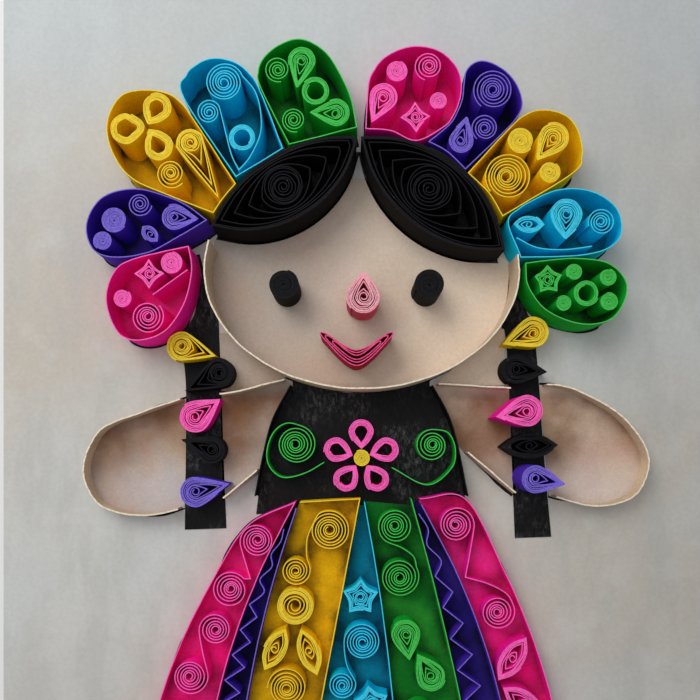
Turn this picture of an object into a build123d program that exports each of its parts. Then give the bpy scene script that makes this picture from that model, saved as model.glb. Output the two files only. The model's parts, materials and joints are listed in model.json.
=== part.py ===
"""Quilled paper doll picture.

Strips of coloured paper stand on edge on a card sheet and draw a traditional rag doll:
a crown of ten ribbon petals, black hair, a face, two braids, outstretched arms, a black
blouse with a flower, and a flared skirt of seven panels. Rolled strips fill the panels.
Lengths are millimetres, +Y points to the top of the head, and +Z points off the sheet.
The origin is the centre of the sheet's back.
"""
import os
from math import atan2, cos, degrees, floor, hypot, radians, sin, sqrt

from build123d import *

# Card sheet and paper
sheet_width = 210.0
sheet_length = 297.0
sheet_thickness = 0.8
colour_thickness = 0.2
paper = 0.3
gap = 0.3
tall_strip = 10.0
low_strip = 5.0

# How finely a round stretch is drawn
turn_sides = 7
roll_turns = 1.5
roll_sides = 10
hole_sides = 6

# Head and hair
head_x = -8.4
head_y = 38.5
head_half_width = 40.2
chin_drop = 30.5
rim_end_left = 14.0
rim_end_right = 7.0
rim_steps = 18
temple_left = (-38.4, 10.9)
parting = (-0.6, 33.6)
temple_right = (36.4, 4.6)
parting_gap = 0.8
hair_rise_left = 7.0
hair_fall_left = 9.9
hair_rise_right = 9.7
hair_fall_right = 9.2
hair_core_share = 0.24
hair_turns = 2.5
hair_sides = 12

# Face
face_x = -1.3
face_steps = 11
eye_radius = 3.9
eye_spread = 18.6
eye_drop = 4.0
nose_radius = 4.4
nose_drop = 7.3
nose_tip_drop = 0.7
nose_side = 1.7
mouth_half_width = 8.7
mouth_top_drop = 16.2
mouth_bottom_drop = 25.2
mouth_inner_drop = 20.8

# Arms and braids
arm_length = 53.5
arm_depth = 36.0
braid_length = 78.0
braid_half_width = 4.8
braid_lean = 2.0

# Blouse
flower_drop = 48.4
flower_reach = 6.9
flower_petal_radius = 3.1
flower_centre_radius = 2.3
blouse_top_half_width = 18.6
blouse_middle_half_width = 24.0
blouse_bottom_half_width = 28.0
blouse_top_drop = 29.2
blouse_middle_drop = 40.0
blouse_bottom_drop = 58.4

# Skirt
skirt_top_drop = 60.0
skirt_length = 75.5
skirt_hem_rise = 7.0
zigzag_step_left = 3.3
zigzag_start_left = 7.0
zigzag_reach_left = 0.78
zigzag_step_right = 4.1
zigzag_start_right = 3.0
zigzag_reach_right = 0.6
panel_tip_rise = 0.9
pink_left_shoulder = 6.5

card_top = sheet_thickness
colour_top = sheet_thickness + colour_thickness
half_paper = paper / 2
lane = half_paper + gap


def moved(point, distance, bearing):
    """The point at a distance and a bearing in degrees from another."""
    x, y = point
    return (x + distance * cos(radians(bearing)), y + distance * sin(radians(bearing)))


def shared(start, end, share):
    """The point at a share of the way from start to end."""
    return (start[0] + (end[0] - start[0]) * share, start[1] + (end[1] - start[1]) * share)


def span(start, end):
    return hypot(end[0] - start[0], end[1] - start[1])


def bearing_of(start, end):
    return degrees(atan2(end[1] - start[1], end[0] - start[0]))


def arc_point(start, end, rise, share):
    """A point on the arc over a chord, which rises to the left of start to end."""
    chord = span(start, end)
    half_turn = 2 * degrees(atan2(2 * rise, chord))
    radius = chord / 2 / sin(radians(half_turn))
    swing = half_turn * (2 * share - 1)
    along = chord / 2 + radius * sin(radians(swing))
    across = rise - radius * (1 - cos(radians(swing)))
    heading = bearing_of(start, end)
    return moved(moved(start, along, heading), across, heading + 90)


def arc_points(start, end, rise, steps):
    return [arc_point(start, end, rise, step / steps) for step in range(steps + 1)]


def smooth(points, steps, corners=(), closed=True):
    """A curve through the points, with a sharp turn at each corner and straight runs beside it."""
    count = len(points)
    curve = []
    for index in range(count if closed else count - 1):
        here, there = points[index], points[(index + 1) % count]
        before = here if index in corners else points[index - 1]
        after = there if (index + 1) % count in corners else points[(index + 2) % count]
        if not closed and index == 0:
            before = here
        if not closed and index == count - 2:
            after = there
        straight = closed and (index in corners or (index + 1) % count in corners)
        for step in range(1 if straight else steps):
            s = step / steps
            weights = (-s + 2 * s**2 - s**3, 2 - 5 * s**2 + 3 * s**3, s + 4 * s**2 - 3 * s**3, s**3 - s**2)
            known = (before, here, there, after)
            curve.append(tuple(sum(w * p[axis] for w, p in zip(weights, known)) / 2 for axis in (0, 1)))
    if not closed:
        curve.append(points[-1])
    return curve


def side_line(points, offset, closed):
    """The line beside another, to its left, with its corners kept."""
    count = len(points)
    line = []
    for index, point in enumerate(points):
        before = points[index - 1] if closed or index > 0 else None
        after = points[(index + 1) % count] if closed or index < count - 1 else None
        into = radians(bearing_of(before or point, point if before else after))
        out = radians(bearing_of(point if after else before, after or point))
        across = (-sin(into) - sin(out), cos(into) + cos(out))
        stretch = offset / (1 + cos(out - into))
        line.append((point[0] + across[0] * stretch, point[1] + across[1] * stretch))
    return line


def patch(points, mode=Mode.ADD):
    """Draws a filled outline in the open sketch."""
    Polygon(*points, align=None, mode=mode)


def open_strip(points):
    """Draws a strip's edge that follows an open line."""
    left = side_line(points, half_paper, closed=False)
    right = side_line(points, -half_paper, closed=False)
    patch(left + right[::-1])


def closed_strip(points):
    """Draws a strip's edge that runs round a closed line, its ends glued together."""
    signs = sum(a[0] * b[1] - a[1] * b[0] for a, b in zip(points, points[1:] + points[:1]))
    outward = -half_paper if signs > 0 else half_paper
    patch(side_line(points, outward, closed=True))
    patch(side_line(points, -outward, closed=True), Mode.SUBTRACT)


def tight_roll(centre, radius, hole_share=0.16):
    """Draws a strip rolled up tight, which leaves only a pinhole or a round eye."""
    with Locations(centre):
        RegularPolygon(radius, roll_sides)
        RegularPolygon(radius * hole_share, hole_sides, mode=Mode.SUBTRACT)


def spiral(centre, radius, start, turns, core_share=0.3):
    """Points of a loose roll from its core outwards. Negative turns run clockwise."""
    steps = round(abs(turns) * turn_sides)
    outer = radius - half_paper
    core = radius * core_share
    sweep = 360 * turns / steps
    return [moved(centre, core + (outer - core) * n / steps, start + sweep * n) for n in range(steps + 1)]


def pinched_coil(eye, outline, core_share=0.4, turns=0.65):
    """Draws a loose roll pressed into a shape: its closed outer turn and its inner turns."""
    closed_strip(outline)
    sides = len(outline)
    steps = round(turns * sides)
    inner = []
    for n in range(steps + 1):
        share = core_share + (1 - core_share) * n / steps
        inner.append(shared(eye, outline[n % sides], share))
    open_strip(inner)


def teardrop_line(eye, tip, radius):
    """A round end about the eye with straight sides to the tip."""
    reach = radius - half_paper
    open_angle = degrees(atan2(sqrt(span(eye, tip) ** 2 - reach**2), reach))
    heading = bearing_of(eye, tip)
    sweep = (360 - 2 * open_angle) / (turn_sides - 2)
    rounds = [moved(eye, reach, heading + open_angle + sweep * n) for n in range(turn_sides - 1)]
    return [tip] + rounds


def marquise_line(tip, far_tip, rise, fall, steps):
    """Two arcs that meet at sharp tips, counter-clockwise from far_tip's lower side."""
    lower = arc_points(far_tip, tip, -fall, steps)[:-1]
    upper = arc_points(tip, far_tip, -rise, steps)[:-1]
    return upper + lower


def pinched_ring(eye, tip, radius, hole_share=0.45, hole_reach=0.75):
    """Draws a thick ring of many turns pinched to a tip, with a teardrop hole."""
    patch(teardrop_line(eye, tip, radius + half_paper))
    patch(teardrop_line(eye, shared(eye, tip, hole_reach), radius * hole_share), Mode.SUBTRACT)


def star_line(centre, radius, points, heading, pinch=0.8):
    """A star whose sides are pressed in between its points."""
    turn = 360 / points
    waist = pinch * cos(radians(turn / 2))
    line = []
    for n in range(points):
        line.append(moved(centre, radius - paper, heading + turn * n))
        line.append(moved(centre, radius * waist, heading + turn * (n + 0.5)))
    return line


class Room:
    """A place with its own directions: along it, and across it to the left.

    Whatever stands in a room is drawn in millimetres for the room's drawn length and width,
    and follows the room when its real length or width is another.
    """

    def __init__(self, origin, heading, length, drawn_length, width, drawn_width, mirrored=False):
        self.origin = origin
        self.heading = heading
        self.side = heading - 90 if mirrored else heading + 90
        self.long_ratio = length / drawn_length
        self.wide_ratio = width / drawn_width

    def at(self, along, across):
        start = moved(self.origin, along * self.long_ratio, self.heading)
        return moved(start, across * self.wide_ratio, self.side)

    def sized(self, radius):
        """A roll's radius, held by the tighter side of the room."""
        return radius * min(self.long_ratio, self.wide_ratio)


def scroll(room, head, via, foot):
    """Draws one strip rolled up at both ends, which passes the via points in between.

    Each roll is its place in the room, its radius, the bearing at which the strip leaves it,
    and its turns from the core outwards.
    """
    rolls = []
    for along, across, radius, leaving, turns in (head, foot):
        start = room.heading + leaving - 360 * turns
        rolls.append(spiral(room.at(along, across), room.sized(radius), start, turns))
    open_strip(rolls[0] + [room.at(*point) for point in via] + rolls[1][::-1])


def draw_coil(room, kind, *places):
    """Draws one coil of a room by the name of its shape.

    The places are where it stands along and across the room, its radius, and where its tip points.
    A strip or a scroll has its own places instead.
    """
    if kind == "strip":
        open_strip([room.at(*place) for place in places])
        return
    if kind == "scroll":
        scroll(room, *places)
        return
    along, across, radius, *tip = places
    centre = room.at(along, across)
    size = room.sized(radius)
    if kind == "tight":
        tight_roll(centre, size)
    if kind == "ring":
        tight_roll(centre, size, hole_share=0.6)
    if kind == "loose":
        open_strip(spiral(centre, size, room.heading, roll_turns))
    if kind == "teardrop":
        point = room.at(*tip)
        pinched_coil(centre, teardrop_line(centre, point, size))
    if kind == "pinched_ring":
        pinched_ring(centre, room.at(*tip), size)
    if kind == "marquise":
        point = room.at(*tip)
        far_point = shared(point, centre, 2)
        pinched_coil(centre, marquise_line(point, far_point, size, size, 4))
    if kind in ("star4", "star5"):
        heading = bearing_of(centre, room.at(*tip))
        pinched_coil(centre, star_line(centre, size, int(kind[-1]), heading), turns=0.5)


def figure(x, y):
    """A place drawn from the head's centre, on the sheet."""
    return (head_x + x, head_y + y)


def head_rim_point(angle):
    """A point of the head's oval. 0 degrees is its right side and 270 is the chin."""
    return figure(head_half_width * cos(radians(angle)), chin_drop * sin(radians(angle)))


# The hair coils meet at the parting, and their outer arcs carry the crown of petals
left_hair_start = figure(*temple_left)
left_hair_end = figure(parting[0] - parting_gap / 2, parting[1])
right_hair_start = figure(parting[0] + parting_gap / 2, parting[1])
right_hair_end = figure(*temple_right)


def on_left_hair(share):
    """A place just outside the left hair coil, from the temple up to the parting."""
    return arc_point(left_hair_start, left_hair_end, hair_rise_left + lane, share)


def on_right_hair(share):
    """A place just outside the right hair coil, from the parting down to the temple."""
    return arc_point(right_hair_start, right_hair_end, hair_rise_right + lane, share)


def beside_head(angle):
    """A place just outside the head's rim."""
    x, y = head_rim_point(angle)
    return moved((x, y), lane + gap, bearing_of(figure(0, 0), (x, y)))


# Seams run outwards between neighbouring petals: where each starts, its length and its bearing
seams = {
    "parting": (moved(figure(*parting), 3 * lane, 90), 21.0, 90.0),
    "left_green_blue": (on_left_hair(0.62), 27.0, 116.5),
    "left_blue_yellow": (on_left_hair(0.26), 30.0, 124.0),
    "left_yellow_purple": (on_left_hair(0.01), 31.5, 158.5),
    "left_purple_pink": (beside_head(168), 25.7, 193.0),
    "left_pink_braid": (beside_head(174), 23.0, 258.0),
    "right_pink_purple": (on_right_hair(0.31), 26.0, 61.5),
    "right_purple_yellow": (on_right_hair(0.55), 30.0, 45.5),
    "right_yellow_blue": (on_right_hair(0.87), 27.0, 31.0),
    "right_blue_green": (beside_head(5), 28.0, 3.0),
    "right_green_braid": (beside_head(-5), 21.0, -42.0),
}


def room_between(first, second, drawn_length, drawn_width):
    """The room of a petal, which lies counter-clockwise from its first seam to its second."""
    ends = []
    for name in (first, second):
        start, length, bearing = seams[name]
        ends.append((start, moved(start, length, bearing)))
    (first_start, first_end), (second_start, second_end) = ends
    origin = shared(first_start, second_start, 0.5)
    outer = shared(first_end, second_end, 0.5)
    width = span(shared(first_start, first_end, 0.5), shared(second_start, second_end, 0.5))
    heading = bearing_of(origin, outer)
    return Room(origin, heading, span(origin, outer), drawn_length, width, drawn_width)


# Each petal: its two seams, the room it is drawn for, its rim and the rim's sharp corners, its coils
petals = {
    "left_green": (
        ("parting", "left_green_blue"),
        (23.4, 24.1),
        [
            (0.8, -8.8), (8.6, -9.2), (19.5, -6.8), (25.2, -2.4), (26.4, 3.0), (23.6, 10.0),
            (16.8, 12.3), (1.0, 9.0),
        ],
        (0, 7),
        [
            ("loose", 20.2, 6.9, 3.5),
            ("teardrop", 20.6, 0.4, 3.6, 14.1, 3.5),
            ("ring", 12.3, -0.9, 3.7),
            ("loose", 6.6, 6.2, 3.3),
            ("teardrop", 5.6, -4.6, 3.6, 7.4, 1.8),
        ],
    ),
    "left_blue": (
        ("left_green_blue", "left_blue_yellow"),
        (28.4, 18.6),
        [
            (1.2, -6.7), (17.0, -9.2), (25.6, -7.6), (30.3, -1.8), (29.6, 5.0), (25.2, 8.5),
            (1.0, 7.2),
        ],
        (0, 6),
        [
            (
                "scroll",
                (18.6, 4.9, 3.2, -90, -1.5),
                [
                    (12.6, 3.6), (6.4, 5.4), (2.0, 5.7), (3.4, 1.7), (7.0, -3.5), (12.1, -6.6),
                    (17.3, -8.0),
                ],
                (23.0, -2.4, 5.0, -100, -1.5),
            ),
            ("ring", 8.6, 0.8, 3.5),
        ],
    ),
    "left_yellow": (
        ("left_blue_yellow", "left_yellow_purple"),
        (29.4, 20.7),
        [
            (1.0, -6.0), (19.5, -12.2), (29.0, -13.2), (37.4, -6.2), (35.6, 3.0), (27.0, 8.6),
            (18.0, 8.4), (0.8, 3.3), (1.2, -1.3),
        ],
        (0, 7),
        [
            ("pinched_ring", 28.6, -8.7, 3.4, 27.8, -4.3),
            ("pinched_ring", 31.5, 0.3, 3.7, 28.4, -2.8),
            ("pinched_ring", 22.2, -1.3, 3.4, 26.3, -3.0),
            ("teardrop", 16.4, -7.0, 3.7, 2.2, -0.6),
            ("loose", 15.3, 2.2, 3.9),
        ],
    ),
    "left_purple": (
        ("left_yellow_purple", "left_purple_pink"),
        (27.3, 13.5),
        [
            (0.8, -3.4), (6.0, -6.5), (18.0, -9.4), (27.6, -6.4), (31.0, 1.0), (28.2, 7.4),
            (21.0, 8.2), (12.0, 4.8),
        ],
        (0,),
        [
            ("tight", 24.1, -0.9, 3.3),
            ("loose", 18.0, -5.5, 3.2),
            ("tight", 26.4, 4.7, 2.5),
            ("marquise", 14.6, 1.7, 1.8, 16.7, 0.0),
            ("teardrop", 9.0, -3.2, 3.4, 2.8, -3.4),
        ],
    ),
    "left_pink": (
        ("left_purple_pink", "left_pink_braid"),
        (20.5, 14.9),
        [
            (2.2, -3.2), (8.4, -7.0), (18.2, -11.6), (26.4, -8.0), (30.2, 0.6), (27.0, 6.0),
            (20.2, 8.3), (11.8, 6.0), (4.8, 0.8),
        ],
        (0,),
        [
            ("tight", 8.2, -3.1, 2.9),
            ("star4", 14.2, -5.0, 4.0, 11.3, -2.3),
            ("strip", (6.4, 1.0), (17.2, -0.4)),
            ("tight", 23.4, -5.1, 2.4),
            ("loose", 22.1, 2.7, 4.4),
        ],
    ),
    "right_pink": (
        ("right_pink_purple", "parting"),
        (22.8, 22.7),
        [
            (0.4, 6.9), (11.2, 9.3), (18.8, 7.4), (23.7, 1.2), (24.3, -6.4), (20.2, -12.3),
            (13.2, -14.1), (6.4, -12.2), (1.0, -6.4), (1.6, 0.6),
        ],
        (0, 8),
        [
            ("tight", 16.5, 3.3, 2.8),
            ("loose", 19.9, -4.2, 3.8),
            ("teardrop", 9.2, 4.7, 3.7, 2.2, 5.8),
            ("tight", 12.1, -9.0, 2.3),
            ("star4", 6.6, -4.5, 4.1, 10.2, -3.3),
        ],
    ),
    "right_purple": (
        ("right_purple_yellow", "right_pink_purple"),
        (27.7, 16.6),
        [
            (0.6, 5.4), (7.4, 3.8), (14.4, 5.2), (20.6, 8.6), (25.4, 6.6), (26.4, -1.0),
            (22.2, -8.0), (13.9, -8.3), (0.6, -6.2), (1.4, 0.0),
        ],
        (0, 8),
        [
            ("loose", 20.8, 0.2, 5.3),
            ("loose", 11.9, -3.9, 3.6),
            ("teardrop", 5.6, -1.0, 3.3, 11.4, 1.5),
        ],
    ),
    "right_yellow": (
        ("right_yellow_blue", "right_purple_yellow"),
        (28.3, 20.3),
        [
            (1.0, 7.0), (17.1, 9.4), (24.6, 8.4), (29.6, 2.6), (28.4, -4.6), (21.6, -9.6),
            (1.0, -7.0), (1.9, 0.0),
        ],
        (0, 6),
        [
            ("tight", 16.5, 5.1, 3.4),
            ("teardrop", 23.5, 0.4, 4.0, 16.4, -1.4),
            ("loose", 8.3, -0.2, 6.1),
            ("tight", 17.2, -5.8, 2.8),
        ],
    ),
    "right_blue": (
        ("right_blue_green", "right_yellow_blue"),
        (26.7, 16.8),
        [
            (0.8, 4.8), (4.4, 7.3), (14.6, 9.0), (23.0, 6.4), (28.2, 0.2), (27.2, -6.6),
            (21.6, -9.0), (12.3, -7.7), (1.3, -4.6),
        ],
        (0, 8),
        [
            ("marquise", 5.6, 2.8, 2.2, 1.9, 4.0),
            ("teardrop", 15.5, 2.3, 4.3, 13.4, -3.6),
            ("strip", (1.6, 0.4), (6.0, -3.6), (12.4, -6.0), (19.4, -7.2)),
            ("loose", 23.5, -2.1, 3.6),
        ],
    ),
    "right_green": (
        ("right_green_braid", "right_blue_green"),
        (22.7, 14.6),
        [
            (0.6, 1.6), (9.0, 5.2), (20.4, 7.5), (27.0, 3.0), (25.8, -5.6), (18.0, -9.4),
            (8.4, -8.2), (2.2, -3.0),
        ],
        (0,),
        [
            ("star5", 7.2, -1.0, 4.0, 5.9, 2.8),
            ("tight", 13.0, 2.8, 2.2),
            ("tight", 21.6, 3.9, 2.3),
            ("ring", 17.5, -1.5, 3.4),
            ("tight", 12.6, -5.6, 2.1),
            ("tight", 23.6, -2.0, 2.4),
        ],
    ),
}

petal_rooms = {}
petal_outlines = {}
for petal, (petal_seams, drawn_size, rim_points, rim_corners, _) in petals.items():
    room = room_between(*petal_seams, *drawn_size)
    petal_rooms[petal] = room
    petal_outlines[petal] = smooth([room.at(*point) for point in rim_points], 2, rim_corners)

# Arms leave the blouse under the cheeks, and the braids cross them from above
left_arm = Room(head_rim_point(241), 180, arm_length, 53.5, arm_depth, 36.0)
right_arm = Room(head_rim_point(299), 0, arm_length, 53.5, arm_depth, 36.0, mirrored=True)
braid_heading = 270 + braid_lean
left_braid = Room(
    figure(-44.2, 6.0), braid_heading, braid_length, 78.0, braid_half_width, 4.8, mirrored=True
)
right_braid = Room(figure(43.4, 6.0), braid_heading, braid_length, 78.0, braid_half_width, 4.8)

left_arm_rims = {
    "upper": smooth(
        [left_arm.at(0.8, 1.0), left_arm.at(12.6, 4.0), left_braid.at(37.7, -5.6)],
        2,
        closed=False,
    ),
    "hand": smooth(
        [
            left_braid.at(38.7, 4.8),
            left_arm.at(39.6, 10.1),
            left_arm.at(49.4, 14.6),
            left_arm.at(53.6, 24.6),
            left_arm.at(49.4, 33.9),
            left_arm.at(38.2, 36.8),
            left_braid.at(67.6, 6.4),
        ],
        2,
        closed=False,
    ),
    "lower": [left_braid.at(65.2, -5.6), left_arm.at(8.0, 24.8)],
}
right_arm_rims = {
    "upper": smooth(
        [right_arm.at(0.8, 2.2), right_arm.at(9.0, 2.6), right_braid.at(35.8, -5.4)],
        2,
        closed=False,
    ),
    "hand": smooth(
        [
            right_braid.at(35.2, 4.2),
            right_arm.at(36.5, 3.6),
            right_arm.at(49.1, 10.8),
            right_arm.at(56.0, 21.6),
            right_arm.at(52.4, 31.4),
            right_arm.at(42.3, 34.3),
            right_braid.at(64.8, 5.6),
        ],
        2,
        closed=False,
    ),
    "lower": [right_braid.at(63.4, -5.0), right_arm.at(8.6, 20.2)],
}

# Each braid coil: its colour, where it stands on the braid, its radius and where its tip points
left_braid_coils = [
    ("yellow", "teardrop", 25.0, 3.8, 4.0, 27.8, -5.0),
    ("black", "teardrop", 32.2, -5.6, 4.0, 36.6, 3.2),
    ("pink", "teardrop", 43.6, 1.0, 4.3, 39.2, -5.8),
    ("black", "teardrop", 52.4, -3.0, 3.7, 49.4, 4.6),
    ("purple", "teardrop", 63.2, 1.6, 4.1, 61.4, -7.4),
]
right_braid_coils = [
    ("yellow", "teardrop", 21.4, 1.0, 4.2, 24.2, -7.0),
    ("black", "teardrop", 31.0, -3.8, 4.0, 32.0, 4.2),
    ("pink", "teardrop", 42.2, -2.8, 4.2, 43.4, -10.6),
    ("black", "marquise", 51.2, -1.0, 3.0, 51.2, 6.0),
    ("purple", "teardrop", 59.6, -1.2, 3.8, 61.2, 6.2),
]


def skirt_wall(top, hem, bow):
    """A wall between two panels: where it starts at the waist, where it meets the hem, its bow."""
    return {"top": top, "hem": hem, "bow": bow}


skirt_walls = [
    skirt_wall(-25.5, -57.5, -6.2),
    skirt_wall(-17.5, -41.5, -4.6),
    skirt_wall(-16.6, -33.0, -2.6),
    skirt_wall(-0.6, -15.0, 0.0),
    skirt_wall(0.8, 10.0, 1.3),
    skirt_wall(13.3, 30.5, 1.0),
    skirt_wall(15.4, 40.0, 4.8),
    skirt_wall(27.8, 54.0, 4.8),
]


def hem_depth(x):
    """How far the hem hangs under the waist: it rises towards both sides."""
    hem_half_width = (skirt_walls[-1]["hem"] - skirt_walls[0]["hem"]) / 2
    return skirt_length - skirt_hem_rise * (x / hem_half_width) ** 2


def wall_point(number, depth, inset=0.0):
    """A point of a skirt wall at a depth under the waist, set in to its right by inset."""
    wall = skirt_walls[number]
    share = depth / skirt_length
    x = wall["top"] + (wall["hem"] - wall["top"]) * share + 4 * wall["bow"] * share * (1 - share)
    return figure(x + inset, -skirt_top_drop - depth)


def wall_line(number, start_depth, end_depth, inset=0.0, steps=4):
    """Points down a skirt wall."""
    depths = [start_depth + (end_depth - start_depth) * step / steps for step in range(steps + 1)]
    return [wall_point(number, depth, inset) for depth in depths]


class Panel:
    """The room between two skirt walls: depth down from the waist, and across from -1 to 1."""

    heading = 0

    def __init__(self, number, drawn_length, drawn_hem_width):
        self.number = number
        hem_width = skirt_walls[number + 1]["hem"] - skirt_walls[number]["hem"]
        self.long_ratio = skirt_length / drawn_length
        self.wide_ratio = hem_width / drawn_hem_width

    def at(self, depth, across):
        left = wall_point(self.number, depth * self.long_ratio)
        right = wall_point(self.number + 1, depth * self.long_ratio)
        return shared(left, right, (across + 1) / 2)

    def sized(self, radius):
        return radius * min(self.long_ratio, self.wide_ratio)


pink_left = Panel(0, 75.5, 16.0)
yellow = Panel(2, 75.5, 18.0)
blue = Panel(3, 75.5, 25.0)
green = Panel(4, 75.5, 20.5)
pink_right = Panel(6, 75.5, 14.0)


pieces = []


# Backing sheet
with BuildPart() as backing_sheet:
    with BuildSketch():
        Rectangle(sheet_width, sheet_length)
    extrude(amount=sheet_thickness)
backing_sheet.part.label = "backing_sheet"
pieces.append(backing_sheet.part)

# Head rim, open at the top where the hair closes it
with BuildPart() as head_rim:
    with BuildSketch(Plane.XY.offset(card_top)):
        rim_sweep = 180 + rim_end_left + rim_end_right
        rim_start = 180 - rim_end_left
        open_strip([head_rim_point(rim_start + rim_sweep * n / rim_steps) for n in range(rim_steps + 1)])
    extrude(amount=tall_strip)
head_rim.part.label = "head_rim"
pieces.append(head_rim.part)

# Hair: two rolls of many turns pressed to marquise shape
hair_lines = {
    "left": marquise_line(left_hair_end, left_hair_start, hair_rise_left, hair_fall_left, hair_sides // 2),
    "right": marquise_line(right_hair_end, right_hair_start, hair_rise_right, hair_fall_right, hair_sides // 2),
}
for side, hair_line in hair_lines.items():
    eye = shared(hair_line[0], hair_line[hair_sides // 2], 0.5)
    with BuildPart() as hair_coil:
        with BuildSketch(Plane.XY.offset(colour_top)):
            pinched_coil(eye, hair_line, hair_core_share, hair_turns)
        extrude(amount=tall_strip)
    hair_coil.part.label = f"hair_coil_{side}"
    pieces.append(hair_coil.part)

# Eyes: two black rolls, wound tight
with BuildPart() as eyes:
    with BuildSketch(Plane.XY.offset(colour_top)):
        for eye_x in (face_x - eye_spread, face_x + eye_spread):
            tight_roll(figure(eye_x, -eye_drop), eye_radius)
    extrude(amount=tall_strip)
eyes.part.label = "eyes"
pieces.append(eyes.part)

# Nose: a pale pink teardrop with its tip up
with BuildPart() as nose:
    with BuildSketch(Plane.XY.offset(colour_top)):
        nose_eye = figure(face_x + nose_side, -nose_drop)
        nose_tip = figure(face_x + nose_side, -nose_tip_drop)
        pinched_coil(nose_eye, teardrop_line(nose_eye, nose_tip, nose_radius))
    extrude(amount=tall_strip)
nose.part.label = "nose"
pieces.append(nose.part)

# Mouth: one strip folded to a smiling crescent
with BuildPart() as mouth:
    with BuildSketch(Plane.XY.offset(colour_top)):
        corner_left = figure(face_x - mouth_half_width, -mouth_top_drop)
        corner_right = figure(face_x + mouth_half_width, -mouth_top_drop)
        bottom = figure(face_x, -mouth_bottom_drop)
        inner = figure(face_x, -mouth_inner_drop)
        closed_strip([corner_left, bottom, corner_right, inner])
    extrude(amount=tall_strip)
mouth.part.label = "mouth"
pieces.append(mouth.part)

# Crown petals: a rim on the card and the rolls that fill it
for petal, (_, _, _, _, coils) in petals.items():
    with BuildPart() as petal_rim:
        with BuildSketch(Plane.XY.offset(card_top)):
            closed_strip(petal_outlines[petal])
        extrude(amount=tall_strip)
    petal_rim.part.label = f"petal_{petal}_rim"
    pieces.append(petal_rim.part)
    with BuildPart() as petal_coils:
        with BuildSketch(Plane.XY.offset(colour_top)):
            for coil in coils:
                draw_coil(petal_rooms[petal], *coil)
        extrude(amount=tall_strip)
    petal_coils.part.label = f"petal_{petal}_coils"
    pieces.append(petal_coils.part)

# Arm rims: each arm's strips stop at the braid that crosses it
for side, arm_rims in (("left", left_arm_rims), ("right", right_arm_rims)):
    with BuildPart() as arm_rim:
        with BuildSketch(Plane.XY.offset(card_top)):
            for line in arm_rims.values():
                open_strip(line)
        extrude(amount=low_strip)
    arm_rim.part.label = f"arm_rim_{side}"
    pieces.append(arm_rim.part)

# Braid rolls stand on the black bands, one node for each colour of a braid
braid_rolls = {
    "braid_left_yellow": (left_braid, left_braid_coils, "yellow", low_strip),
    "braid_left_black": (left_braid, left_braid_coils, "black", low_strip),
    "braid_left_pink": (left_braid, left_braid_coils, "pink", low_strip),
    "braid_left_purple": (left_braid, left_braid_coils, "purple", low_strip),
    "braid_right_yellow": (right_braid, right_braid_coils, "yellow", low_strip),
    "braid_right_black": (right_braid, right_braid_coils, "black", low_strip),
    "braid_right_pink": (right_braid, right_braid_coils, "pink", tall_strip),
    "braid_right_purple": (right_braid, right_braid_coils, "purple", tall_strip),
}
for name, (braid, coils, colour, height) in braid_rolls.items():
    with BuildPart() as braid_roll:
        with BuildSketch(Plane.XY.offset(colour_top)):
            for coil_colour, *coil in coils:
                if coil_colour == colour:
                    draw_coil(braid, *coil)
        extrude(amount=height)
    braid_roll.part.label = name
    pieces.append(braid_roll.part)


def blouse_side(direction):
    """The points down one side of the blouse. Direction is -1 on the left and 1 on the right."""
    return [
        figure(direction * blouse_top_half_width, -blouse_top_drop),
        figure(direction * blouse_middle_half_width, -blouse_middle_drop),
        figure(direction * blouse_bottom_half_width, -blouse_bottom_drop),
    ]


# Blouse strips: a black strip down each side
with BuildPart() as blouse_strips:
    with BuildSketch(Plane.XY.offset(card_top)):
        for direction in (-1, 1):
            open_strip(smooth(blouse_side(direction), 3, closed=False))
    extrude(amount=low_strip)
blouse_strips.part.label = "blouse_strips"
pieces.append(blouse_strips.part)

# Flower: five pink rings pinched towards a yellow roll
flower_middle = figure(0.0, -flower_drop)
with BuildPart() as flower_petals:
    with BuildSketch(Plane.XY.offset(colour_top)):
        for heading in range(18, 378, 72):
            eye = moved(flower_middle, flower_reach, heading)
            tip = moved(flower_middle, flower_centre_radius + gap, heading)
            pinched_ring(eye, tip, flower_petal_radius, hole_reach=0.65)
    extrude(amount=low_strip)
flower_petals.part.label = "flower_petals"
pieces.append(flower_petals.part)

with BuildPart() as flower_centre:
    with BuildSketch(Plane.XY.offset(colour_top)):
        tight_roll(flower_middle, flower_centre_radius)
    extrude(amount=low_strip)
flower_centre.part.label = "flower_centre"
pieces.append(flower_centre.part)

# Blouse scrolls: a green roll on each side whose tail reaches the flower
left_scroll_line = spiral(figure(-17.1, -44.8), 5.2, -110, 1.5) + [
    figure(-19.6, -39.2),
    figure(-23.0, -41.6),
    figure(-24.8, -46.4),
    figure(-24.1, -50.6),
    figure(-20.6, -53.4),
    figure(-15.0, -52.4),
    figure(-9.8, -49.5),
]
right_scroll_line = spiral(figure(18.5, -45.1), 4.4, -100, -1.5) + [
    figure(22.8, -41.8),
    figure(24.6, -45.8),
    figure(23.6, -51.0),
    figure(17.3, -55.4),
    figure(8.0, -50.9),
]
with BuildPart() as blouse_scrolls:
    with BuildSketch(Plane.XY.offset(colour_top)):
        open_strip(left_scroll_line)
        open_strip(right_scroll_line)
    extrude(amount=low_strip)
blouse_scrolls.part.label = "blouse_scrolls"
pieces.append(blouse_scrolls.part)


def wall_and_hem(number, start_depth):
    """A strip down a wall and back along the hem to the wall on its left."""
    bottom = hem_depth(skirt_walls[number]["hem"])
    far_bottom = hem_depth(skirt_walls[number - 1]["hem"])
    return wall_line(number, start_depth, bottom) + [wall_point(number - 1, far_bottom, 2 * lane)]


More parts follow.
